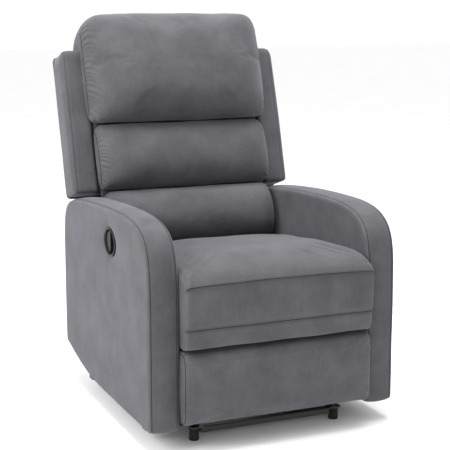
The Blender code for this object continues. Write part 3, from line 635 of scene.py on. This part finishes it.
def gather(obj, count, amount, reach, pitch, slant, kept):
    """Small folds in the cloth that run in from both end seams and die out.

    kept is each outline point's share of the folds.
    """
    points = coordinates(obj).reshape(-1, count, 3)
    push = normals(obj).reshape(-1, count, 3)
    rings = len(points)
    first, last = CAP_RINGS, rings - 1 - CAP_RINGS
    edge = points[first]
    steps = np.linalg.norm(np.roll(edge, -1, axis=0) - edge, axis=1)
    along = np.concatenate([[0.0], np.cumsum(steps)[:-1]])
    for r in range(first, last + 1):
        for end, way in ((points[first, 0, 0], 1.0), (points[last, 0, 0], -1.0)):
            e = abs(points[r, 0, 0] - end)
            if e > 5 * reach:
                continue
            strength = amount * math.exp(-e / reach) * (1 - math.exp(-e / 0.002))
            t = along + way * slant * e
            phase = math.tau * t / pitch + 1.9 * np.sin(math.tau * t / (5.3 * pitch)) + 2.0 * way
            size = 0.72 + 0.28 * np.sin(math.tau * t / (8.7 * pitch) + 0.8 * way)
            fold = (np.sin(phase) - 0.35) * size * strength * kept
            points[r] += push[r] * fold[:, None]
    set_coordinates(obj, points.reshape(-1, 3))


def rumple(obj, amount, scale, seed):
    """A cover is never quite even: slow waves a few centimetres long, from sums of sines."""
    points = coordinates(obj)
    wave = np.zeros(len(points))
    for k in range(1, 5):
        direction = np.array([math.sin(1.7 * k + seed), math.sin(2.9 * k + 1.3 * seed),
                              math.cos(1.1 * k + seed)])
        wave += np.sin(points @ direction * math.tau / (scale * (0.7 + 0.25 * k)) + seed * k) / k
    set_coordinates(obj, points + normals(obj) * (amount * wave / 2.1)[:, None])


def make_head_pillow():
    """The padded head section, which also wraps over the top of the back."""
    outline = [(-0.001, 0.2040), (-0.080, 0.2040), (-0.117, 0.240), (-0.125, 0.330), (-0.121, 0.430),
               (-0.103, 0.507), (-0.050, 0.524), (0.035, 0.5190), (0.0835, 0.4920), (0.0845, 0.4265),
               (0.0, 0.4265)]
    cuts = [0.010, 0.022, 0.050, 0.060, 0.060, 0.050, 0.050, 0.040, 0.030, 0.002, 0.004]
    count = 200
    profile = resampled(corner_cut(outline, cuts), count)
    rings = roll_rings(profile, half_width=0.2800, centre=(-0.006, 0.345), corner_up=0.052,
                       corner_down=0.022, taper=0.115, end_depth=0.12, mapping=back)
    pillow = loft("head_pillow_cover", rings, FABRIC)
    inflate(pillow, held_points(rings, count, profile[:, 0] > -0.004), cap=0.010)
    relax(pillow, count, 2)
    front = np.clip((-0.004 - profile[:, 0]) / 0.03, 0.0, 1.0)
    gather(pillow, count, amount=0.0034, reach=0.020, pitch=0.0125, slant=0.9, kept=front)
    rumple(pillow, amount=0.0012, scale=0.15, seed=0.4)
    smoothed(pillow)
    extras = end_seams(pillow, "head_pillow", count, front)
    return settle(pillow, "backrest", ["head_pillow"], extras=extras)


def unbroken(shown, count):
    """The shown points of a closed outline in one run, from the first one after the gap."""
    start = next(k for k in range(len(shown)) if (shown[k] - shown[k - 1]) % count != 1)
    return shown[start:] + shown[:start]


def end_seams(obj, name, count, front):
    """The fold line of the seam round each end of a roll, on the part that shows: a dark tube that paints
    the shade in the seam's groove.
    """
    points = coordinates(obj).reshape(-1, count, 3)
    made = []
    shown = unbroken([i for i in range(count) if front[i] > 0.05], count)
    for label, row in (("right", CAP_RINGS), ("left", len(points) - 1 - CAP_RINGS)):
        path = [points[row, i] for i in shown]
        made += sew(obj, "%s_seam_%s" % (name, label), path, rows=())
    return made


def make_middle_bolster():
    outline = [(-0.001, 0.0035), (-0.045, 0.0035), (-0.078, 0.022), (-0.0875, 0.075), (-0.081, 0.134),
               (-0.060, 0.177), (-0.028, 0.1975), (-0.001, 0.1975)]
    cuts = [0.006, 0.022, 0.040, 0.045, 0.045, 0.040, 0.020, 0.006]
    return make_bolster("middle_bolster", outline, cuts, half_width=0.2680, centre=(-0.006, 0.095),
                        corner_up=0.024, corner_down=0.016, taper=0.070, end_depth=0.35,
                        folds=0.0030, seed=0.9)


def make_lumbar_bolster():
    outline = [(-0.001, -0.1650), (-0.060, -0.1650), (-0.092, -0.140), (-0.0985, -0.090), (-0.088, -0.045),
               (-0.062, -0.014), (-0.030, -0.0035), (-0.001, -0.0035)]
    cuts = [0.006, 0.030, 0.040, 0.040, 0.040, 0.035, 0.020, 0.006]
    return make_bolster("lumbar_bolster", outline, cuts, half_width=0.2600, centre=(-0.006, -0.084),
                        corner_up=0.022, corner_down=0.016, taper=0.060, end_depth=0.40,
                        folds=0.0022, seed=2.1)


def make_bolster(name, outline, cuts, half_width, centre, corner_up, corner_down, taper, end_depth, folds,
                 seed):
    """One of the two rolls under the head section, sewn to the back along its top, bottom and ends."""
    count = 140
    profile = resampled(corner_cut(outline, cuts), count)
    rings = roll_rings(profile, half_width, centre, corner_up, corner_down, taper, end_depth, back)
    roll = loft(name + "_cover", rings, FABRIC)
    inflate(roll, held_points(rings, count, profile[:, 0] > -0.006), cap=0.008)
    relax(roll, count, 2)
    front = np.clip((-0.004 - profile[:, 0]) / 0.03, 0.0, 1.0)
    gather(roll, count, amount=folds, reach=0.013, pitch=0.0105, slant=0.5, kept=front)
    rumple(roll, amount=0.0012, scale=0.13, seed=seed)
    smoothed(roll)
    extras = end_seams(roll, name, count, front)
    return settle(roll, "backrest", [name], extras=extras)


# ---------------------------------------------------------------- seat
SEAT_SEAMS = (0.428, 0.320)     # heights of the upper and the lower seam
SEAT_SEAM_D = -0.036
SEAT_HALF_WIDTH = 0.2638
SEAT_CROWN = 0.008              # how much higher the seat is at its middle than at its sides


def make_seat():
    """The seat cushion with its nose, front panel and flap, and two topstitched seams across the front."""
    outline = [(0.5290, 0.3410), (0.5290, 0.4060), (0.5150, 0.4270), (0.4200, 0.4430), (0.3250, 0.4520),
               (0.1800, 0.4690), (0.0900, 0.4750), (0.0250, 0.4720), (-0.0160, 0.4620), (-0.0400, 0.4460),
               (-0.0440, 0.4330), (-0.0365, 0.4280), (-0.0410, 0.4160), (-0.0425, 0.3750), (-0.0390, 0.3300),
               (-0.0330, 0.3200), (-0.0370, 0.3100), (-0.0350, 0.2860), (-0.0290, 0.2675), (-0.0020, 0.2675),
               (-0.0020, 0.3410)]
    cuts = [0.004, 0.015, 0.020, 0.040, 0.050, 0.050, 0.040, 0.030, 0.020, 0.010,
            0.005, 0.003, 0.005, 0.020, 0.006,
            0.003, 0.005, 0.010, 0.008, 0.003,
            0.002]
    count = 300
    profile = resampled(corner_cut(outline, cuts, 8), count)
    rings = roll_rings(profile, half_width=SEAT_HALF_WIDTH, centre=(0.240, 0.3450), corner_up=0.014,
                       corner_down=0.0, taper=0.011, end_depth=0.970, mapping=chair)
    top = np.clip((profile[:, 1] - 0.40) / 0.06, 0.0, 1.0)
    for ring in rings:
        ring[:, 2] += SEAT_CROWN * top * (1 - (ring[:, 0] / SEAT_HALF_WIDTH) ** 2)
    seat = loft("seat_cushion_cover", rings, FABRIC)
    seams = [int(np.argmin(np.hypot(profile[:, 0] - SEAT_SEAM_D, profile[:, 1] - z))) for z in SEAT_SEAMS]
    still = profile[:, 1] < 0.3440
    for k in seams:
        still[k - 1:k + 2] = True
    inflate(seat, held_points(rings, count, still), cap=0.007)
    relax(seat, count, 1, 0.35)
    rumple(seat, amount=0.0014, scale=0.17, seed=3.3)
    smoothed(seat)
    points = coordinates(seat).reshape(-1, count, 3)
    extras = []
    for label, row in zip(("upper", "lower"), seams):
        path = [points[r, row] for r in range(CAP_RINGS + 1, len(points) - 1 - CAP_RINGS)]
        extras += sew(seat, "seat_%s_seam" % label, path)
    return settle(seat, "seat", ["seat_cushion"], extras=extras)


# ---------------------------------------------------------------- footrest
def make_footrest():
    """The footrest's padded cover, which wraps round its board."""
    outline = [(0.0250, 0.0670), (0.0250, 0.2610), (-0.0200, 0.2610), (-0.0360, 0.2450), (-0.0385, 0.1650),
               (-0.0360, 0.0840), (-0.0200, 0.0670)]
    cuts = [0.003, 0.003, 0.014, 0.016, 0.060, 0.016, 0.014]
    count = 120
    profile = resampled(corner_cut(outline, cuts), count)
    rings = roll_rings(profile, half_width=0.2635, centre=(0.0050, 0.1640), corner_up=0.006,
                       corner_down=0.006, taper=0.014, end_depth=0.78, mapping=chair)
    pad = loft("footrest_pad_cover", rings, FABRIC)
    inflate(pad, held_points(rings, count, profile[:, 0] > 0.0030), cap=0.004)
    relax(pad, count, 1)
    front = np.clip((0.004 - profile[:, 0]) / 0.02, 0.0, 1.0)
    gather(pad, count, amount=0.0012, reach=0.016, pitch=0.021, slant=0.4, kept=front)
    rumple(pad, amount=0.0008, scale=0.12, seed=5.1)
    smoothed(pad)
    extras = end_seams(pad, "footrest", count, front)
    return settle(pad, "footrest", ["footrest_pad"], extras=extras)


# ---------------------------------------------------------------- arms
ARM_MIDDLE = (0.330, 0.330)
CLOTH_UNDER_BEZEL = 0.0035
CUP_SLEEVE = (0.012, 0.024, 0.034, 0.036)       # depths of the cloth's edge, turned in round the cup


def arm_loop(count):
    """The arm seen from the side, from its lower front corner round the bottom, rear and top."""
    bottom = [(0.0, 0.0535), (0.200, 0.0535), (0.400, 0.0535), (0.480, 0.0565), (0.570, 0.067),
              (0.653, 0.083), (0.744, 0.107)]
    top = [(0.744, 0.270), (0.744, 0.430), (0.735, 0.500), (0.706, 0.535), (0.650, 0.556), (0.552, 0.568),
           (0.415, 0.577), (0.303, 0.581), (0.213, 0.582), (0.142, 0.578), (0.089, 0.568), (0.051, 0.551),
           (0.020, 0.520), (0.004, 0.465), (0.0, 0.395), (0.0, 0.220)]
    cuts = [0.011, 0.05, 0.05, 0.04, 0.04, 0.04, 0.014] + [0.05] * len(top)
    return resampled(corner_cut(bottom + top, cuts), count)


def cup_pull(ring):
    """How far the cloth is drawn in round the release cup, with a crease above and below it."""
    reach = np.hypot((ring[:, 0] - CUP_D) / CUP_HALF_LENGTH, (ring[:, 1] - CUP_Z) / CUP_HALF_HEIGHT) - 1.0
    outside = np.maximum(reach, 0.0)
    dip = np.exp(-outside * 2.4)
    crease = np.exp(-((ring[:, 0] - CUP_D - 0.010) / 0.012) ** 2) * np.exp(-outside * 0.9)
    return 0.0030 * dip + 0.0016 * crease


def under_arm(d, z):
    """Whether a point of the arm's outline is on its underside, where no seam shows."""
    return z < 0.058 or (z < 0.112 and d > 0.30)


def make_arm(label, side):
    """An upholstered arm: two side panels and a boxing strip over the front, top and rear."""
    count = 420
    loop = arm_loop(count)
    out = outward(loop)
    inner_seam = ARM_INNER + 0.0075
    outer_seam = HALF_WIDTH - 0.0080
    width = outer_seam - inner_seam
    has_cup = side < 0
    if has_cup:
        centre = (CUP_D, CUP_Z)
        hole = (CUP_HALF_LENGTH - CLOTH_UNDER_BEZEL, CUP_HALF_HEIGHT - CLOTH_UNDER_BEZEL)
    else:
        centre = ARM_MIDDLE
        hole = (0.012, 0.012)
    edge = towards(loop, ARM_MIDDLE, 0.945)
    near_edge = towards(loop, ARM_MIDDLE, 0.970)
    angle = np.arctan2(edge[:, 1] - centre[1], edge[:, 0] - centre[0])
    rim = np.array(centre) + np.column_stack([np.cos(angle) * hole[0], np.sin(angle) * hole[1]])
    inner_rim = towards(edge, ARM_MIDDLE, 0.03)

    sections = []
    for share in np.linspace(1.0, 0.0, 22, endpoint=False):
        sections.append((ARM_INNER, edge * (1 - share) + inner_rim * share))
    sections.append((ARM_INNER + 0.0001, near_edge))
    for x, inwards in ((ARM_INNER + 0.0014, 0.0060),
                       (ARM_INNER + 0.0036, 0.0026), (ARM_INNER + 0.0060, 0.0014), (inner_seam, 0.0026),
                       (inner_seam + 0.0016, 0.0008), (inner_seam + 0.0040, -0.0002),
                       (inner_seam + width * 0.20, -0.0016), (inner_seam + width * 0.35, -0.0026),
                       (inner_seam + width * 0.50, -0.0030), (inner_seam + width * 0.65, -0.0026),
                       (inner_seam + width * 0.80, -0.0016), (outer_seam - 0.0040, -0.0002),
                       (outer_seam - 0.0016, 0.0008), (outer_seam, 0.0026), (HALF_WIDTH - 0.0060, 0.0014),
                       (HALF_WIDTH - 0.0034, 0.0024), (HALF_WIDTH - 0.0012, 0.0056)):
        sections.append((x, loop - out * inwards))
    sections.append((HALF_WIDTH - 0.0001, near_edge))
    sections.append((HALF_WIDTH + 0.0003, edge))
    for share in np.linspace(0.0, 1.0, 34)[1:]:
        ring = edge * (1 - share) + rim * share
        dome = 0.0016 * math.sin(math.pi * min(1.0, share * 1.1))
        x = np.full(count, HALF_WIDTH + 0.0003 + dome)
        if has_cup:
            x -= cup_pull(ring)
            if share == 1.0:
                x -= 0.004
        sections.append((x, ring))
    if has_cup:
        for depth in CUP_SLEEVE:
            sections.append((HALF_WIDTH - depth, rim))
    else:
        ring = np.array(centre) + (rim - np.array(centre)) * 0.2
        sections.append((HALF_WIDTH + 0.0003, ring))
    rings = []
    for x, ring in sections:
        xs = np.broadcast_to(x, (count,))
        rings.append([chair(side * a, d, z) for a, (d, z) in zip(xs, ring)])
    arm = loft("arm_cover_%s_cloth" % label, rings, FABRIC)
    rumple(arm, amount=0.0007, scale=0.20, seed=1.0 + side)
    smoothed(arm)
    points = coordinates(arm).reshape(-1, count, 3)
    shown = unbroken([i for i in range(count) if not under_arm(*loop[i])], count)
    extras = []
    for place, seam in (("inner", inner_seam), ("outer", outer_seam)):
        row = next(k for k, (x, _) in enumerate(sections) if np.ndim(x) == 0 and x == seam)
        path = [points[row, i] for i in shown]
        rows = (-TOPSTITCH, TOPSTITCH) if place == "outer" else (TOPSTITCH * side,)
        extras += sew(arm, "arm_%s_%s_seam" % (label, place), path, rows)
    return settle(arm, "base", ["arm_cover_" + label], extras=extras)


# ---------------------------------------------------------------- back
WING_HEIGHT = 0.4280
WING_SEAM_X = 0.3310
WING_CORNER = 0.026         # rounding of a wing's top outer corner, seen from the front
WING_OUTER_X = 0.345
PANEL_ROLL = 0.004          # rounding of a covered panel's edges


def below_corner(x, s):
    """How far a wing's outline drops near its top outer corner."""
    past = min(1.0, max(0.0, (x - WING_OUTER_X + WING_CORNER) / WING_CORNER))
    drop = WING_CORNER * (1 - math.sqrt(1 - past ** 2)) * 0.9
    return drop * min(1.0, max(0.0, (s - WING_HEIGHT + 0.08) / 0.08))


def make_wing(label, side):
    """A padded wing beside the back cushions, topstitched down its front."""
    section = [(0.2710, 0.0), (0.3450, 0.0), (0.3455, 0.0420), (0.3440, 0.0850), (0.2355, 0.0850),
               (0.2355, 0.0190), (0.2710, 0.0190)]
    cuts = [0.010, 0.015, 0.030, 0.010, 0.006, 0.004, 0.004]
    count = 150
    loop = resampled(corner_cut(section, cuts), count)
    out = outward(loop)
    front = np.clip(1 - np.abs(loop[:, 1]) / 0.004, 0.0, 1.0)
    pinch = front * np.exp(-((loop[:, 0] - WING_SEAM_X) / 0.0022) ** 2)
    height = WING_HEIGHT
    stations = [(0.0015, 0.0075), (0.0030, 0.0045), (0.0055, 0.0022), (0.0090, 0.0008), (0.0140, 0.0)]
    steps = 44
    stations += [(0.0140 + (height - 0.0320) * i / steps, 0.0) for i in range(1, steps)]
    stations += [(height - 0.0180, 0.0), (height - 0.0110, 0.0012), (height - 0.0060, 0.0034),
                 (height - 0.0025, 0.0064), (height - 0.0008, 0.0095)]
    centre = (0.293, 0.050)
    rings = []

    def ring_at(outline, s):
        return [back(side * x, n, s - below_corner(x, s)) for x, n in outline]

    for share in (0.1, 0.4, 0.7, 0.9):
        rings.append(ring_at(towards(loop - out * 0.0095, centre, share), 0.0004))
    for s, inwards in stations:
        swell = 0.0012 * math.sin(math.pi * s / height)
        shaped = loop + out * (swell - inwards)
        shaped = shaped + np.column_stack([np.zeros(count), pinch * 0.0022])
        rings.append(ring_at(shaped, s))
    for share in (0.9, 0.7, 0.4, 0.1):
        rings.append(ring_at(towards(loop - out * 0.0115, centre, share), height - 0.0002))
    wing = loft("wing_%s_cover" % label, rings, FABRIC)
    rumple(wing, amount=0.0008, scale=0.16, seed=2.0 + side)
    smoothed(wing)
    tree = surface(wing)
    path = [back(side * WING_SEAM_X, 0.0, s) for s in np.linspace(0.010, height - 0.012, 90)]
    extras = [stitches("wing_%s_stitches" % label, [laid(tree, path, 0.0, THREAD_LIFT)])]
    mitre = [back(side * (0.3420 - 0.011 * t), 0.012 - 0.014 * t, height - 0.002 - 0.004 * t)
             for t in np.linspace(0.0, 1.0, 12)]
    mitre_path = laid(tree, mitre, 0.0, 0.0)
    # The mitre seam is a thin tube in the near-black seam cloth: painted shade in its groove.
    extras.append(tube("wing_%s_mitre_seam" % label, mitre_path, SEAM_RADIUS * 0.8, SEAM_SHADE_CLOTH))
    return settle(wing, "backrest", ["wing_" + label], extras=extras)


def flat_panel(name, outline, cuts, count, centre, front_n, rear_n, dome, material):
    """A covered panel across the back, with rounded edges and a slightly domed rear face."""
    roll = PANEL_ROLL
    loop = resampled(corner_cut(outline, cuts), count)
    out = outward(loop)
    rings = []

    def ring_at(outline_at_n, n):
        return [back(x, n, s) for x, s in outline_at_n]

    edge = loop - out * roll
    for share in np.linspace(0.03, 1.0, 12, endpoint=False):
        rings.append(ring_at(towards(edge, centre, share), front_n))
    rings.append(ring_at(edge, front_n))
    rings.append(ring_at(loop - out * roll * 0.3, front_n + (rear_n - front_n) * 0.12))
    rings.append(ring_at(loop, front_n + (rear_n - front_n) * 0.40))
    rings.append(ring_at(loop, front_n + (rear_n - front_n) * 0.65))
    rings.append(ring_at(loop - out * roll * 0.35, rear_n - (rear_n - front_n) * 0.10))
    rings.append(ring_at(edge, rear_n))
    for share in np.linspace(1.0, 0.03, 26)[1:]:
        rings.append(ring_at(towards(edge, centre, share), rear_n + dome * (1 - share ** 4)))
    return loft(name, rings, material), loop, out


def make_outer_back():
    """The cloth over the back's rear: a tee that narrows below, where it passes between the arms."""
    tee = [(-0.2610, -0.2990), (0.2610, -0.2990), (0.2610, -0.0030), (0.3430, -0.0030), (0.3430, 0.4280),
           (-0.3430, 0.4280), (-0.3430, -0.0030), (-0.2610, -0.0030)]
    cuts = [0.012, 0.012, 0.008, 0.010, 0.014, 0.014, 0.010, 0.008]
    panel, loop, out = flat_panel("outer_back_cloth", tee, cuts, count=360, centre=(0.0, 0.10),
                                  front_n=0.0855, rear_n=0.0950, dome=0.0040, material=FABRIC)
    rumple(panel, amount=0.0009, scale=0.21, seed=4.4)
    smoothed(panel)
    border = [back(x, 0.0990, s) for x, s in loop - out * 0.012]
    extras = sew(panel, "outer_back_border", border, rows=(TOPSTITCH,), loop=True)
    across = [back(x, 0.0990, 0.1950) for x in np.linspace(-0.328, 0.328, 90)]
    extras += sew(panel, "outer_back_cross_seam", across)
    return settle(panel, "backrest", ["outer_back_cover"], extras=extras)


def make_inner_back():
    """The lining that the back's cushions are sewn to."""
    board = [(-0.2620, -0.2350), (0.2620, -0.2350), (0.2620, 0.4250), (-0.2620, 0.4250)]
    panel, _, _ = flat_panel("inner_back_lining", board, 0.010, count=220, centre=(0.0, 0.095),
                             front_n=0.0008, rear_n=0.0165, dome=0.0004, material=LINING)
    smoothed(panel)
    return settle(panel, "backrest", ["inner_back_panel"])


# ---------------------------------------------------------------- release handle, feet and spring
def turned(name, profile, place, material, count=64):
    """A profile of (radius, height) points swept round; place(a, b, height) puts each point in place."""
    rings = []
    for radius, height in profile:
        ring = []
        for i in range(count):
            angle = math.tau * i / count
            ring.append(place(radius * math.cos(angle), radius * math.sin(angle), height))
        rings.append(ring)
    return smoothed(loft(name, rings, material))


def make_release_cup():
    """The oval finger cup: a rounded bezel that catches the light round a deep recess."""
    face = -HALF_WIDTH - 0.0004
    squeeze = CUP_HALF_HEIGHT / CUP_HALF_LENGTH
    profile = [(0.0040, 0.0284), (0.0300, 0.0284), (0.0350, 0.0270), (0.0376, 0.0235), (0.0384, 0.0120),
               (0.0389, 0.0035), (0.0393, 0.0012), (0.0402, -0.0004), (0.0416, -0.0012), (0.0430, -0.0011),
               (0.0442, -0.0003), (0.0449, 0.0010), (0.0450, 0.0026), (0.0444, 0.0034), (0.0410, 0.0036),
               (0.0404, 0.0042), (0.0400, 0.0240), (0.0370, 0.0288), (0.0340, 0.0300), (0.0040, 0.0300)]

    def place(a, b, depth):
        return chair(face + depth, CUP_D + a, CUP_Z + b * squeeze)

    cup = turned("release_cup_moulding", profile, place, PLASTIC)
    return settle(cup, "base", ["release_cup"])


def centred_on(node):
    """A place function for a piece that is turned about an upright axis through a CAD node's middle."""
    low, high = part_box(node)
    x = (low[0] + high[0]) / 2
    y = (low[1] + high[1]) / 2

    def place(a, b, height):
        return (x + a, y + b, height)

    return place


def make_feet():
    """Turned plastic feet with a slightly wider head and a soft lower edge."""
    profile = [(0.0020, 0.0357), (0.0146, 0.0357), (0.0150, 0.0352), (0.0150, 0.0296), (0.0145, 0.0284),
               (0.0134, 0.0262), (0.0130, 0.0235), (0.0131, 0.0110), (0.0135, 0.0034), (0.0133, 0.0012),
               (0.0120, 0.0), (0.0020, 0.0)]
    for end in ("front", "rear"):
        for label, _ in SIDES:
            node = "foot_%s_%s" % (end, label)
            foot = turned(node + "_turned", profile, centred_on(node), PLASTIC, count=40)
            settle(foot, "base", [node])


def make_footrest_spring():
    """A close-wound pull spring with a straight hook at each end."""
    low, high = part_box("footrest_spring")
    x = (low[0] + high[0]) / 2
    z = (low[2] + high[2]) / 2
    front_y, rear_y = low[1], high[1]
    hook = 0.0015               # from the end of the CAD's spring to the end of the wire
    wire = 0.0011
    radius = (high[2] - low[2]) / 2 - wire
    coil_start = front_y + 0.038
    coil_end = rear_y - 0.087
    turns = 44
    path = [(x, front_y + hook, z), (x, front_y + 0.020, z), (x, coil_start - 0.006, z)]
    per_turn = 12
    for i in range(turns * per_turn + 1):
        angle = math.tau * i / per_turn
        along = i / (turns * per_turn)
        path.append((x + radius * math.cos(angle), coil_start + (coil_end - coil_start) * along,
                     z + radius * math.sin(angle)))
    path += [(x, coil_end + 0.008, z), (x, coil_end + 0.040, z), (x, rear_y - hook, z)]
    points = [Vector(p) for p in path]
    laid_path = []
    normal = Vector((0.0, 0.0, 1.0))
    for i, p in enumerate(points):
        tangent = (points[min(i + 1, len(points) - 1)] - points[max(i - 1, 0)]).normalized()
        normal = (normal - tangent * normal.dot(tangent)).normalized()
        laid_path.append((p, normal.copy(), tangent))
    spring = tube("footrest_spring_coil", laid_path, wire, SPRING_STEEL, sides=8)
    settle(spring, "seat", ["footrest_spring"])
    # The lug that holds the front hook turns from upright to nearly level: it goes back and down.
    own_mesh(spring)


# ---------------------------------------------------------------- studio
SURROUND_BRIGHTNESS = 1.06
LAMPS = (                   # name, place, target, diameter, watts
    ("key", (-3.2, -0.5, 2.2), (-0.2, 0.0, 0.5), 2.2, 98.0),
    ("top", (0.1, 0.0, 3.4), (0.0, 0.0, 0.5), 2.0, 118.0),
)
FLOOR_REACH = 30.0
CAMERA_PLACE = chair(-1.2823, -2.6243, 1.0957)
CAMERA_PITCH = math.radians(10.37)      # down from level
CAMERA_YAW = math.radians(23.44)
CAMERA_LENS = 93.9
CAMERA_SENSOR = 36.0


def make_studio():
    """A white surround, a pale floor and two soft lamps."""
    world = bpy.data.worlds.new("studio")
    bpy.context.scene.world = world
    world.use_nodes = True
    background = world.node_tree.nodes["Background"]
    background.inputs["Color"].default_value = (1.0, 1.0, 1.0, 1.0)
    background.inputs["Strength"].default_value = SURROUND_BRIGHTNESS
    bpy.context.scene.view_settings.view_transform = "Standard"

    floor, tree, shader, place = new_material("pale_floor")
    tone = two_tone(tree, noise(tree, place, 3.0), 0.3, 0.7, (0.90, 0.90, 0.90), (0.93, 0.93, 0.93))
    tree.links.new(tone, shader.inputs["Base Color"])
    shader.inputs["Roughness"].default_value = 0.9
    reach = FLOOR_REACH
    corners = [(-reach, -reach, 0), (reach, -reach, 0), (reach, reach, 0), (-reach, reach, 0)]
    ground = make_piece("studio_floor", corners, [(0, 1, 2, 3)], floor, smooth=False)

    for name, spot, target, size, power in LAMPS:
        lamp = bpy.data.lights.new(name, "AREA")
        lamp.shape = "DISK"
        lamp.size = size
        lamp.energy = power
        obj = bpy.data.objects.new(name, lamp)
        obj.location = spot
        obj.rotation_euler = (Vector(target) - Vector(spot)).to_track_quat("-Z", "Y").to_euler()
        bpy.context.scene.collection.objects.link(obj)


def make_camera():
    camera = bpy.data.objects.new("camera", bpy.data.cameras.new("camera"))
    camera.location = CAMERA_PLACE
    camera.rotation_euler = Euler((math.radians(90.0) - CAMERA_PITCH, 0.0, -CAMERA_YAW))
    camera.data.lens = CAMERA_LENS
    camera.data.sensor_width = CAMERA_SENSOR
    bpy.context.scene.collection.objects.link(camera)
    bpy.context.scene.camera = camera


make_camera()
make_studio()
finish_cad_nodes()
make_seat()
make_footrest()
make_head_pillow()
make_middle_bolster()
make_lumbar_bolster()
for arm_label, arm_side in SIDES:
    make_arm(arm_label, arm_side)
    make_wing(arm_label, arm_side)
make_outer_back()
make_inner_back()
make_release_cup()
make_feet()
make_footrest_spring()
